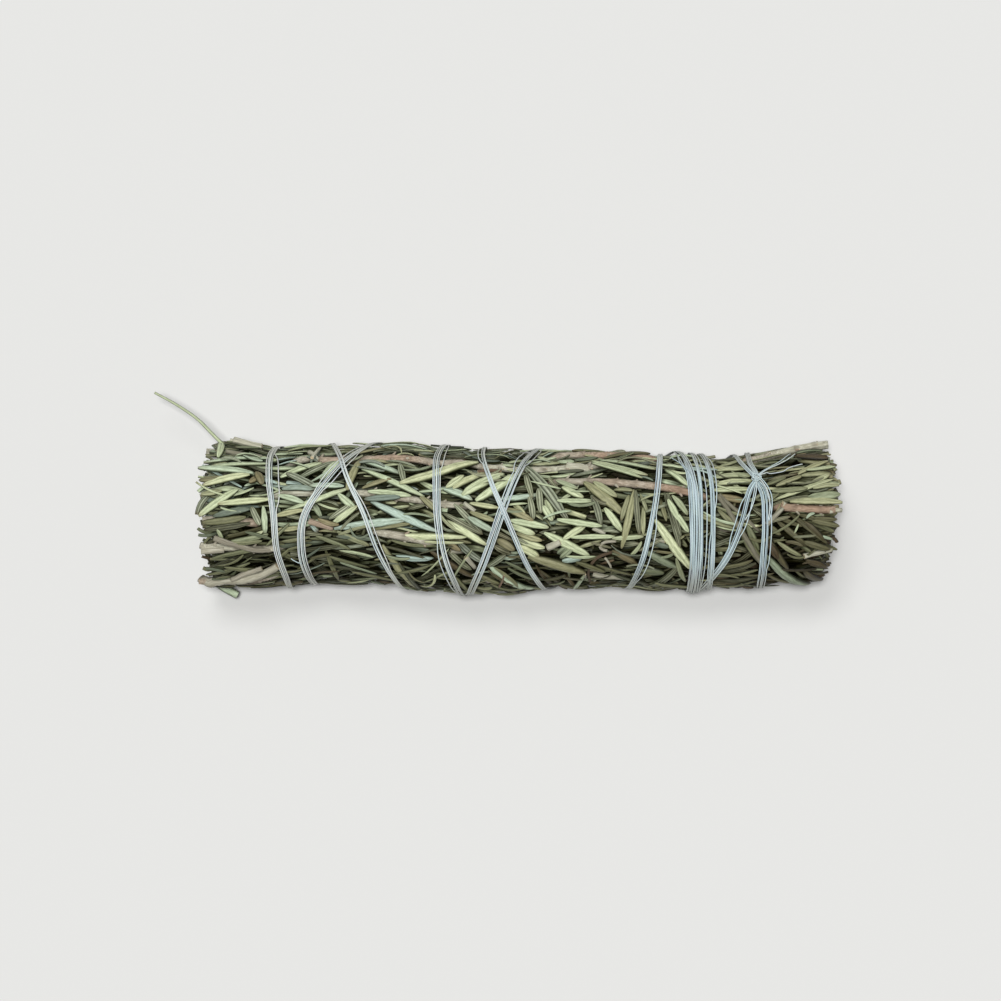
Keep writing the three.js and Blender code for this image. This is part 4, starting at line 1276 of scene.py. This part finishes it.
def add_pressed_core(shape, number):
    """The mass of leaves pressed under an outer stem, as one ridged strip, painted dark as gap
    shade.
    """
    count = len(OUTER_SPRIGS)
    x = np.linspace(-CORE_HALF_LENGTH, CORE_HALF_LENGTH, 81)

    def angle_of(k):
        return along(OUTER_SPRIGS[k % count]["angles"], x) - 360 * (k // count)

    middle = angle_of(number)
    low = (middle + angle_of(number + 1)) / 2 + 0.6
    high = (middle + angle_of(number - 1)) / 2 - 0.6
    angle = low[:, None] + (high - low)[:, None] * np.linspace(0, 1, 9)
    arc = np.radians(angle) * MEAN_RADIUS
    ridge = 0.45 * np.sin(arc * 3.1 + np.sin(x / 7)[:, None])
    ridge += 0.3 * random.normal(0, 1, arc.shape)
    top = on_bundle(x[:, None], arc, -CORE_DEPTH - 0.4 + ridge.clip(-0.8, 0.8))
    add_block(shape, top, on_bundle(x[:, None], arc, -CORE_FLOOR_DEPTH), CORE)


def way_over_bundle(way, spacing):
    """X and arc of a smooth line by way of places seen in the photo."""
    places = np.array([seen_at(px, py) for px, py in way])
    lengths = distances_along(places)
    count = max(int(lengths[-1] / spacing), 4)
    even = np.linspace(0, lengths[-1], count)
    x, arc = (smoothed(np.interp(even, lengths, values), 2) for values in places.T)
    x += np.linspace(places[0][0] - x[0], places[-1][0] - x[-1], count)
    arc += np.linspace(places[0][1] - arc[0], places[-1][1] - arc[-1], count)
    return x, arc


def add_twigs(shapes):
    """The small bare twigs, stubs and curls, each resting on the pile."""
    for way, radius, tone, dull in TWIGS_SEEN:
        x, arc = way_over_bundle(way, 0.8)
        under = pile_at(x, arc)
        height = smoothed(np.maximum(smoothed(under, 8), under - 0.7), 2) + radius * 0.7
        size = radius * np.linspace(1.05, 0.85, len(x))
        number = sprig_at(float(x.mean()), float(arc.mean()))
        line = on_bundle(x, arc, height)
        add_stem(shapes[number], line, outward_at(arc), size, tone, dull=dull)
        for offset in (-0.6 * radius, 0, 0.6 * radius):
            top = height + radius * (0.8 if offset else 1)
            lay_on_pile(x, arc + offset, top)


def add_loose_stalk(shape, stalk):
    """A bare stalk that stands clear of the bundle."""
    way = np.array(stalk["way"])
    lengths = distances_along(way)
    even = np.linspace(0, lengths[-1], 40)
    line = np.stack([smoothed(np.interp(even, lengths, c), 4) for c in way.T], axis=-1)
    line[-5:] += np.linspace(0, 1, 5)[:, None] * (way[-1] - line[-1])
    radius = np.linspace(*stalk["radii"], len(line))
    section = round_section(STALK_SIDES)
    rings = sweep(line, np.array([[0.0, 0.0, 1.0]]), section, radius, radius * 0.8)
    walls, starts, ends = tube_faces(1, len(line), STALK_SIDES)
    across = section[:, 0]
    shape.add(
        rings,
        [(walls, LEAF), (starts, CUT_WOOD), (ends, CUT_WOOD)],
        tone=stalk["tone"],
        across=across,
        along=even[:, None],
        dull=stalk["dull"],
        # Painted shade darkens the stalk's two sides
        groove=abs(across) ** 4,
    )


def end_leaves(ring, wanted):
    """Leaf ends on one ring, at both ends of the bundle. wanted says which sprig they are on."""
    found = []
    count = int(2 * math.pi * ring / END_SPACING)
    for grows in (-1, 1):
        offset = random.uniform(0, TURN)
        for k in range(count):
            arc = (offset + (k + random.uniform(-0.25, 0.25)) * TURN / count) % TURN
            x = grows * random.uniform(66, 73)
            leaf = new_leaf(x, arc, grows, random.normal(0, 3), 60)
            leaf["root"] = ring + random.normal(0, 0.25) - float(sample(OUTLINE, x, arc))
            leaf["tip"] = leaf["root"] + random.uniform(-0.3, 1.0)
            leaf["cut"] = random.choice([0.0, 0.3, 1.0], p=[0.45, 0.25, 0.3])
            leaf["length"] -= random.uniform(0, 5) * (1 if leaf["cut"] < 1 else 0.5)
            leaf["bow"] = random.normal(0, 0.8)
            leaf["sprig"] = wanted(x, arc)
            found.append(leaf)
    return found


def inner_sprig_at(x, arc):
    sector = 360 / INNER_SPRIGS
    angle = math.degrees(arc / MEAN_RADIUS) - TWIST_PER_MM * x
    return int(round(angle / sector)) % INNER_SPRIGS


def make_inner_sprigs():
    """The sprigs inside, which show only at the two ends: core, stem and leaf ends."""
    leaves = [leaf for ring in INNER_RINGS for leaf in end_leaves(ring, inner_sprig_at)]
    for number in range(INNER_SPRIGS):
        shape = Shape()
        x = np.linspace(-CORE_HALF_LENGTH, CORE_HALF_LENGTH, 30)
        x[[0, -1]] += random.uniform(0, 3), -random.uniform(0, 3)
        half = 180 / INNER_SPRIGS - 1.5
        centre = 360 / INNER_SPRIGS * number + TWIST_PER_MM * x
        angle = centre[:, None] + np.linspace(-half, half, 9)
        arc = np.radians(angle) * MEAN_RADIUS
        spread = x[:, None] + 0 * arc
        top = on_bundle(spread, arc, -INNER_CORE_DEPTH)
        add_block(shape, top, at_radius(spread, arc, HEART_RADIUS + 1.0), CORE)
        start, end = INNER_STEM_ENDS
        start, end = start + random.uniform(0, 3), end - random.uniform(0, 3)
        x = np.linspace(start, end, INNER_STEM_RINGS)
        arc = np.radians(centre[0] + TWIST_PER_MM * (x + CORE_HALF_LENGTH)) * MEAN_RADIUS
        radius = np.full(len(x), INNER_STEM_RADIUS)
        line = at_radius(x, arc, INNER_STEM_AT)
        add_stem(shape, line, outward_at(arc), radius, random.uniform(0.1, 0.6))
        add_leaves(shape, [leaf for leaf in leaves if leaf["sprig"] == number], fine=False)
        name = f"inner_sprig_{number + 1:02d}"
        shape.make(name + "_grown", ROSEMARY, name, "inner_rosemary")


def make_heart_sprig():
    """The sprig in the middle of the bundle: core, stem and leaf ends."""
    shape = Shape()
    x = np.linspace(-CORE_HALF_LENGTH, CORE_HALF_LENGTH, 20)
    arc = np.linspace(0, TURN, 13)[None, :-1]
    rings = at_radius(x[:, None] + 0 * arc, arc + 0 * x[:, None], HEART_RADIUS)
    walls, starts, ends = tube_faces(1, *rings.shape[:2])
    shape.add(rings, [(walls, CORE), (starts, CORE), (ends, CORE)], along=x[:, None])
    x = np.linspace(*HEART_STEM_ENDS, INNER_STEM_RINGS)
    line = at_radius(x, 0 * x, 0.0)
    add_stem(shape, line, outward_at(0 * x), np.full(len(x), INNER_STEM_RADIUS), 0.3)
    add_leaves(shape, end_leaves(HEART_RING, lambda x, arc: 0), fine=False)
    shape.make("heart_sprig_grown", ROSEMARY, "heart_sprig", "inner_rosemary")


def lay_outer_sprigs():
    """Finds where everything lies on the outer sprigs: their shapes so far, and their leaves."""
    shapes = [Shape() for _ in OUTER_SPRIGS]
    for number, (sprig, shape) in enumerate(zip(OUTER_SPRIGS, shapes)):
        sprig["phase"] = random.uniform(0, 6.28)
        sprig["stout"] = random.uniform(0.9, 1.1)
        sprig["tone"] = random.uniform(0.15, 0.55)
        add_pressed_core(shape, number)
    leaves = [leaf for ring in OUTER_RINGS for leaf in end_leaves(ring, sprig_at)]
    fill_hollows(leaves, *DEEP_FILLING)
    for sprig, shape in zip(OUTER_SPRIGS, shapes):
        lay_stem(sprig, shape)
    grow_leaves(OUTER_SPRIGS, leaves)
    for filling in FILLINGS:
        fill_hollows(leaves, *filling)
    lay_seen_leaves(leaves)
    lay_slivers(leaves)
    raise_pile(leaves)
    add_twigs(shapes)
    for stalk in LOOSE_STALKS:
        add_loose_stalk(shapes[stalk["sprig"]], stalk)
    return shapes, leaves


def make_outer_sprigs(shapes, leaves):
    """Each outer sprig as one piece. Its leaves that are all but hidden are plainer."""
    for number, shape in enumerate(shapes):
        own = [leaf for leaf in leaves if leaf["sprig"] == number]
        shares = [shown_share(leaf) for leaf in own]
        add_leaves(shape, [leaf for leaf, share in zip(own, shares) if share > HIDDEN_SHARE])
        hidden = [leaf for leaf, share in zip(own, shares) if share <= HIDDEN_SHARE]
        add_leaves(shape, hidden, fine=False)
        name = f"outer_sprig_{number + 1:02d}"
        shape.make(name + "_grown", ROSEMARY, name, "outer_rosemary")


def thread_heights(x, arc):
    """Height of the thread's middle above the outline, resting on the pile all along."""
    under = pile_at(x, arc)
    for offset in (-0.8, -0.4, 0, 0.4, 0.8):
        for step in (-0.5, 0, 0.5):
            under = np.maximum(under, pile_at(x + offset, arc + step))
    padded = np.pad(under, 2, mode="edge")
    widest = np.max([padded[k : k + len(under)] for k in range(5)], axis=0)
    middle = np.maximum(smoothed(widest, 4), under - 0.2)
    return middle.clip(THREAD_LOWEST, THREAD_HIGHEST) + STRAND_RADIUS


def lay_thread():
    """The whole thread's route and heights: each turn lies on the turns wound before it."""
    angle, x, width, numbers = thread_route(THREAD_STEP)
    arc = np.radians(angle) * MEAN_RADIUS
    height = np.zeros(len(x))
    part_length = int(round(180 / THREAD_STEP))
    for first in range(0, len(x), part_length):
        part = slice(first, first + part_length)
        height[part] = thread_heights(x[part], arc[part])
        for share in (-0.4, -0.15, 0.15, 0.4):
            side_x = x[part] + share * width[part]
            lay_on_pile(side_x, arc[part], height[part] + STRAND_RADIUS)
    return angle, arc, x, width, numbers, smoothed(height, 1)


def stray(numbers, angle, strand):
    """How far a strand strays sideways at each place."""
    shift = np.zeros(len(angle))
    for number, which, first, last, distance in STRAY_PARTS:
        if which != strand:
            continue
        middle, half = (first + last) / 2, (first - last) / 2
        off = np.abs((angle - middle + 180) % 360 - 180) / half
        shift += np.where((numbers == number) & (off < 1), distance * (1 - off**4), 0)
    return shift


def add_strands(shape, centres, outward, tone, along_it, dull):
    """Round strands of cotton, each with its own tone, and painted shade on their lower halves,
    where they meet.
    """
    section = round_section(STRAND_SIDES)
    radius = np.full(centres.shape[:-1], STRAND_RADIUS)
    rings = sweep(centres, outward, section, radius, radius)
    walls, starts, ends = tube_faces(len(centres), centres.shape[1], STRAND_SIDES)
    shape.add(
        rings,
        [(walls, COTTON), (starts, COTTON), (ends, COTTON)],
        tone=tone,
        across=np.arange(STRAND_SIDES) / STRAND_SIDES,
        along=along_it,
        dull=dull,
        # Painted shade on each strand's lower half
        groove=np.where(section[:, 1] > 0.1, 0.0, 1.0),
    )


def thread_edge_shade(arc):
    """Thread is painted duller and darker beige towards the bundle's two edges, as painted shade.
    """
    return np.clip((0.82 - np.abs(front_share(arc))) / 0.5, 0, 1)


def make_thread(angle, arc, x, width, numbers, height):
    """The thread as strands side by side, with its knot, as one piece."""
    shape = Shape()
    steps = np.arange(len(x))
    slope_x, slope_arc = np.gradient(x), np.gradient(arc)
    stride = np.hypot(slope_x, slope_arc)
    sideways = np.stack([-slope_arc / stride, slope_x / stride], axis=-1)
    centres, outwards = [], []
    for k in range(STRANDS):
        share = k / (STRANDS - 1) - 0.5
        crowded = np.clip(2 * STRAND_RADIUS - width / (STRANDS - 1), 0, None)
        sway = 0.09 * np.sin(steps / 13.0 + 2.1 * k) + 0.06 * np.sin(steps / 5.3 + 4.0 * k)
        shift = share * width + sway + stray(numbers, angle, k)
        lift = (k % 2) * crowded + 0.04 * np.sin(steps / 9.0 + 1.7 * k)
        own_x = x + shift * sideways[:, 0]
        own_arc = arc + shift * sideways[:, 1]
        centres.append(on_bundle(own_x, own_arc, height + lift))
        outwards.append(outward_at(own_arc))
    paler = 0.25 * np.clip(-x / 70, -1, 1)[None, :, None]
    tone = STRAND_TONES[:, None, None] + paler
    distance = (steps * np.mean(stride))[None, :, None]
    dull = np.clip(thread_edge_shade(arc)[None, :, None] + STRAND_RUBBED[:, None, None], 0, 1)
    add_strands(shape, np.array(centres), np.array(outwards), tone, distance, dull)
    add_knot(shape)
    shape.make("binding_thread_strands", [COTTON_STRAND], "binding_thread", "cotton_thread")


def add_knot(shape):
    """The small knot, its loose tails and the strands that stray beside the thread."""
    for way in STRANDS_SEEN:
        x, arc = way_over_bundle(way, 0.6)
        height = thread_heights(x, arc)
        lay_on_pile(x, arc, height + STRAND_RADIUS)
        line = on_bundle(x, arc, height)[None]
        distance = np.arange(len(x))[None, :, None] * 0.6
        dull = thread_edge_shade(arc)[None, :, None]
        add_strands(shape, line, outward_at(arc)[None], random.uniform(0.3, 1), distance, dull)
    arc = math.radians(KNOT_ANGLE) * MEAN_RADIUS
    base = float(pile_at(KNOT_X, arc))
    turn = np.linspace(0, 2 * math.pi, 25)
    for tilt, wide, tall, rise in KNOT_WRAPS:
        u, v = wide * np.cos(turn), tall * np.sin(turn)
        x = KNOT_X + u * math.cos(tilt) - v * math.sin(tilt)
        around = arc + u * math.sin(tilt) + v * math.cos(tilt)
        line = on_bundle(x, around, base + rise + 0.25 * np.sin(turn * 2))[None]
        add_strands(shape, line, outward_at(around)[None], 0.6, turn[None, :, None], 0.1)


def linear(colour):
    """An sRGB hex colour as linear red, green, blue and full alpha."""
    channels = [int(colour[i : i + 2], 16) / 255 for i in (0, 2, 4)]
    return (*(c / 12.92 if c <= 0.04045 else ((c + 0.055) / 1.055) ** 2.4 for c in channels), 1.0)


def add_node(material, kind, inputs=(), **settings):
    """Adds a shader node with its settings; an input is a value or another node's socket."""
    tree = material.node_tree
    made = tree.nodes.new(kind)
    for name, value in settings.items():
        setattr(made, name, value)
    for socket, value in dict(inputs).items():
        if isinstance(value, bpy.types.NodeSocket):
            tree.links.new(value, made.inputs[socket])
        else:
            made.inputs[socket].default_value = value
    return made


def new_material(name, roughness):
    material = bpy.data.materials.new(name)
    material.use_nodes = True
    shader = material.node_tree.nodes["Principled BSDF"]
    shader.inputs["Roughness"].default_value = roughness
    shader.inputs["Metallic"].default_value = 0.0
    shader.inputs["IOR"].default_value = 1.45
    return material, shader


def coloured(material, value, stops):
    """A colour ramp over a value: stops are pairs of place and sRGB colour."""
    ramp = add_node(material, "ShaderNodeValToRGB", {0: value})
    elements = ramp.color_ramp.elements
    while len(elements) < len(stops):
        elements.new(0.5)
    for element, (place, colour) in zip(elements, stops):
        element.position = place
        element.color = linear(colour)
    return ramp.outputs[0]


def fact(material, name):
    return add_node(material, "ShaderNodeAttribute", attribute_name=name).outputs["Fac"]


def mixed(material, share, first, second, blend="MIX"):
    inputs = {0: share, 6: first, 7: second}
    mix = add_node(material, "ShaderNodeMix", inputs, data_type="RGBA", blend_type=blend)
    return mix.outputs[2]


def scaled(material, value, factor):
    inputs = {0: value, 1: factor}
    return add_node(material, "ShaderNodeMath", inputs, operation="MULTIPLY").outputs[0]


def tinted(material, colour, name, most, tint, blend="MIX"):
    """Turns a colour towards a tint where a fact of the mesh is high, by a share at most."""
    share = scaled(material, fact(material, name), most)
    return mixed(material, share, colour, linear(tint), blend)


def grain(material, across_scale, along_scale, detail=4.0):
    """Noise that runs along a leaf, stem or strand, stretched to its grain."""
    inputs = {
        0: scaled(material, fact(material, "across"), across_scale),
        1: scaled(material, fact(material, "along"), along_scale),
        2: scaled(material, fact(material, "tone"), 40.0),
    }
    place = add_node(material, "ShaderNodeCombineXYZ", inputs).outputs[0]
    inputs = {"Vector": place, "Scale": 1.0, "Detail": detail, "Roughness": 0.62}
    return add_node(material, "ShaderNodeTexNoise", inputs).outputs[0]


def set_relief(material, shader, height, strength, distance):
    inputs = {"Height": height, "Strength": strength, "Distance": distance}
    bump = add_node(material, "ShaderNodeBump", inputs)
    material.node_tree.links.new(bump.outputs[0], shader.inputs["Normal"])


def set_colour(material, shader, colour):
    material.node_tree.links.new(colour, shader.inputs["Base Color"])


def set_shelter(material, shader):
    """What lies deep between its neighbours shines less, because little light reaches it."""
    shine = coloured(material, fact(material, "shade"), [(0.0, "BCBCBC"), (0.8, "000000")])
    material.node_tree.links.new(shine, shader.inputs["Specular IOR Level"])


def dried_leaf():
    """Dried rosemary leaf: leathery and matt, sage green to straw, felted pale beneath."""
    material, shader = new_material("dried_rosemary_leaf", 0.5)
    tone = fact(material, "tone")
    back, felt = coloured(material, tone, LEAF_BACKS), coloured(material, tone, LEAF_FELTS)
    colour = mixed(material, fact(material, "felt"), back, felt)
    streaks = [(0.3, "6A7050"), (0.47, "D2D5C6"), (0.6, "FFFFFF")]
    streaks = coloured(material, grain(material, 4.5, 0.45), streaks)
    colour = mixed(material, 0.6, colour, streaks, "MULTIPLY")
    aside = {0: fact(material, "across")}
    aside = add_node(material, "ShaderNodeMath", aside, operation="ABSOLUTE").outputs[0]
    # Painted shade along the midline groove, stronger on some leaves than others
    midrib_shade = coloured(material, aside, [(0.0, "5E6442"), (0.08, "8F9472"), (0.2, "FFFFFF")])
    midrib_shade_share = coloured(material, grain(material, 1.5, 0.35, 2.0), [(0.4, "101010"), (0.6, "808080")])
    colour = mixed(material, midrib_shade_share, colour, midrib_shade, "MULTIPLY")
    # Painted shade on the rolled edges, which face sideways, away from the light
    rolled_edge_shade = coloured(material, aside, [(0.68, "FFFFFF"), (0.95, "5A5E3A")])
    colour = mixed(material, 0.85, colour, rolled_edge_shade, "MULTIPLY")
    # Pale specks: dust, and painted glints of light
    specks = grain(material, 16.0, 5.0, 2.0)
    dust_and_glints = coloured(material, specks, [(0.62, "000000"), (0.72, "707070")])
    colour = mixed(material, dust_and_glints, colour, linear("EEF2E2"))
    colour = tinted(material, colour, "end", 0.75, "8A6A46")
    # Painted shade in the grooves, along the midline and at the edges
    colour = tinted(material, colour, "groove", 0.9, LEAF_GROOVE_SHADE, "MULTIPLY")
    # Dullness, with painted shade on the near side, away from the light
    colour = tinted(material, colour, "dull", 0.9, LEAF_DULL_AND_SHADE, "MULTIPLY")
    colour = tinted(material, colour, "shade", 0.97, LEAF_SHADE, "MULTIPLY")
    set_colour(material, shader, colour)
    set_shelter(material, shader)
    set_relief(material, shader, grain(material, 9.0, 1.8, 3.0), 0.6, 0.0003)
    return material


def stem_bark():
    """Young rosemary bark: dry and fibrous, taupe grey with pinkish brown stretches."""
    material, shader = new_material("rosemary_stem_bark", 0.75)
    base = [(0.0, "D4D4C0"), (0.35, "C3BDAC"), (0.65, "C0AA95"), (1.0, "B09078")]
    colour = coloured(material, fact(material, "tone"), base)
    fibre = grain(material, 11.0, 0.16, 6.0)
    streaks = coloured(material, fibre, [(0.32, "4A4232"), (0.48, "C6BFB0"), (0.62, "FFFFFF")])
    colour = mixed(material, 0.55, colour, streaks, "MULTIPLY")
    # Darker at the stem's nodes and leaf scars
    colour = tinted(material, colour, "groove", 0.4, "5A4C3C")
    # Dullness, partly painted shade
    colour = tinted(material, colour, "dull", 0.9, LEAF_DULL_AND_SHADE, "MULTIPLY")
    colour = tinted(material, colour, "shade", 0.95, LEAF_SHADE, "MULTIPLY")
    set_colour(material, shader, colour)
    set_shelter(material, shader)
    set_relief(material, shader, fibre, 1.0, 0.0005)
    return material


def cut_wood():
    """Pale wood and pith of a cut stem, roughened by the shears."""
    material, shader = new_material("cut_stem_wood", 0.85)
    noise = add_node(material, "ShaderNodeTexNoise", {"Scale": 1800.0, "Detail": 3.0}).outputs[0]
    set_colour(material, shader, coloured(material, noise, [(0.35, "B39C79"), (0.65, "DDD0B0")]))
    return material


def pressed_core():
    """Leaves pressed inside the bundle, coloured dark olive to near black as painted shade in the
    gaps.
    """
    material, shader = new_material("shaded_pressed_leaf_core", 0.9)
    painted_gap_shade = [(0.35, "1C1E11"), (0.55, "4A4C30"), (0.72, "6E6C48")]
    set_colour(material, shader, coloured(material, grain(material, 9.0, 0.25), painted_gap_shade))
    return material


def cotton_strand():
    """Unbleached cotton, soft and matt, cool pale grey, beige where rubbed; painted shade at edges
    and joins.
    """
    material, shader = new_material("cotton_strand", 0.9)
    shader.inputs["Sheen Weight"].default_value = 0.2
    tones = [(0.0, "A2C0CE"), (0.35, "C6E2EA"), (0.7, "E4F6F4"), (1.0, "FAFEF6")]
    colour = coloured(material, fact(material, "tone"), tones)
    stretches = grain(material, 1.0, 0.12, 2.0)
    tinge = coloured(material, stretches, [(0.5, "000000"), (0.62, "A0A0A0")])
    colour = mixed(material, tinge, colour, linear("B6BEDA"))
    fibre = grain(material, 14.0, 2.2, 3.0)
    shade = coloured(material, fibre, [(0.3, "8F9AA6"), (0.55, "FFFFFF")])
    colour = mixed(material, 0.5, colour, shade, "MULTIPLY")
    # Beige where rubbed, and painted shade towards the bundle's edges
    colour = tinted(material, colour, "dull", 0.7, "B3B09E")
    # Painted shade where the strands meet
    colour = tinted(material, colour, "groove", 0.8, "3E464A", "MULTIPLY")
    set_colour(material, shader, colour)
    set_relief(material, shader, fibre, 0.6, 0.0001)
    return material


ROSEMARY = [dried_leaf(), stem_bark(), cut_wood(), pressed_core()]
LEAF, BARK, CUT_WOOD, CORE = range(4)
COTTON_STRAND = cotton_strand()
COTTON = 0


def make_table():
    """A plain pale matt table top."""
    mesh = bpy.data.meshes.new("table")
    turns = [(-1, -1), (1, -1), (1, 1), (-1, 1)]
    corners = [(TABLE_REACH * i, TABLE_REACH * j, 0) for i, j in turns]
    mesh.from_pydata(corners, [], [(0, 1, 2, 3)])
    table = bpy.data.objects.new("table", mesh)
    bpy.context.scene.collection.objects.link(table)
    material, shader = new_material("pale_table", 0.9)
    shader.inputs["Base Color"].default_value = linear(TABLE_COLOUR)
    shader.inputs["Specular IOR Level"].default_value = 0.1
    mesh.materials.append(material)


def make_light():
    """The two lights, and the pale room round them."""
    for name, tilt, lean, strength, wide in LIGHTS:
        lamp = bpy.data.lights.new(name, "SUN")
        lamp.energy = strength
        lamp.angle = math.radians(wide)
        light = bpy.data.objects.new(name, lamp)
        light.rotation_euler = (math.radians(tilt), math.radians(lean), 0)
        bpy.context.scene.collection.objects.link(light)
    world = bpy.data.worlds.new("pale_room")
    world.use_nodes = True
    background = world.node_tree.nodes["Background"]
    background.inputs["Color"].default_value = (1.0, 1.0, 1.0, 1.0)
    background.inputs["Strength"].default_value = ROOM_STRENGTH
    bpy.context.scene.world = world
    bpy.context.scene.view_settings.view_transform = "Standard"


def make_camera():
    """Looks straight down, with the photo's frame at the height of the bundle's axis."""
    camera = bpy.data.cameras.new("camera")
    frame_width = PHOTO_SIZE * PHOTO_MM_PER_PIXEL
    camera.sensor_width = SENSOR_WIDTH
    camera.lens = SENSOR_WIDTH * CAMERA_DISTANCE / frame_width
    camera.clip_end = 10.0
    view = bpy.data.objects.new("camera", camera)
    x = (PHOTO_SIZE / 2 - AXIS_PIXEL[0]) * PHOTO_MM_PER_PIXEL
    y = (AXIS_PIXEL[1] - PHOTO_SIZE / 2) * PHOTO_MM_PER_PIXEL
    view.location = (x * MM, y * MM, (AXIS_HEIGHT + CAMERA_DISTANCE) * MM)
    bpy.context.scene.collection.objects.link(view)
    bpy.context.scene.camera = view


outer_shapes, outer_leaves = lay_outer_sprigs()
thread = lay_thread()
make_outer_sprigs(outer_shapes, outer_leaves)
make_inner_sprigs()
make_heart_sprig()
make_thread(*thread)
make_table()
make_light()
make_camera()
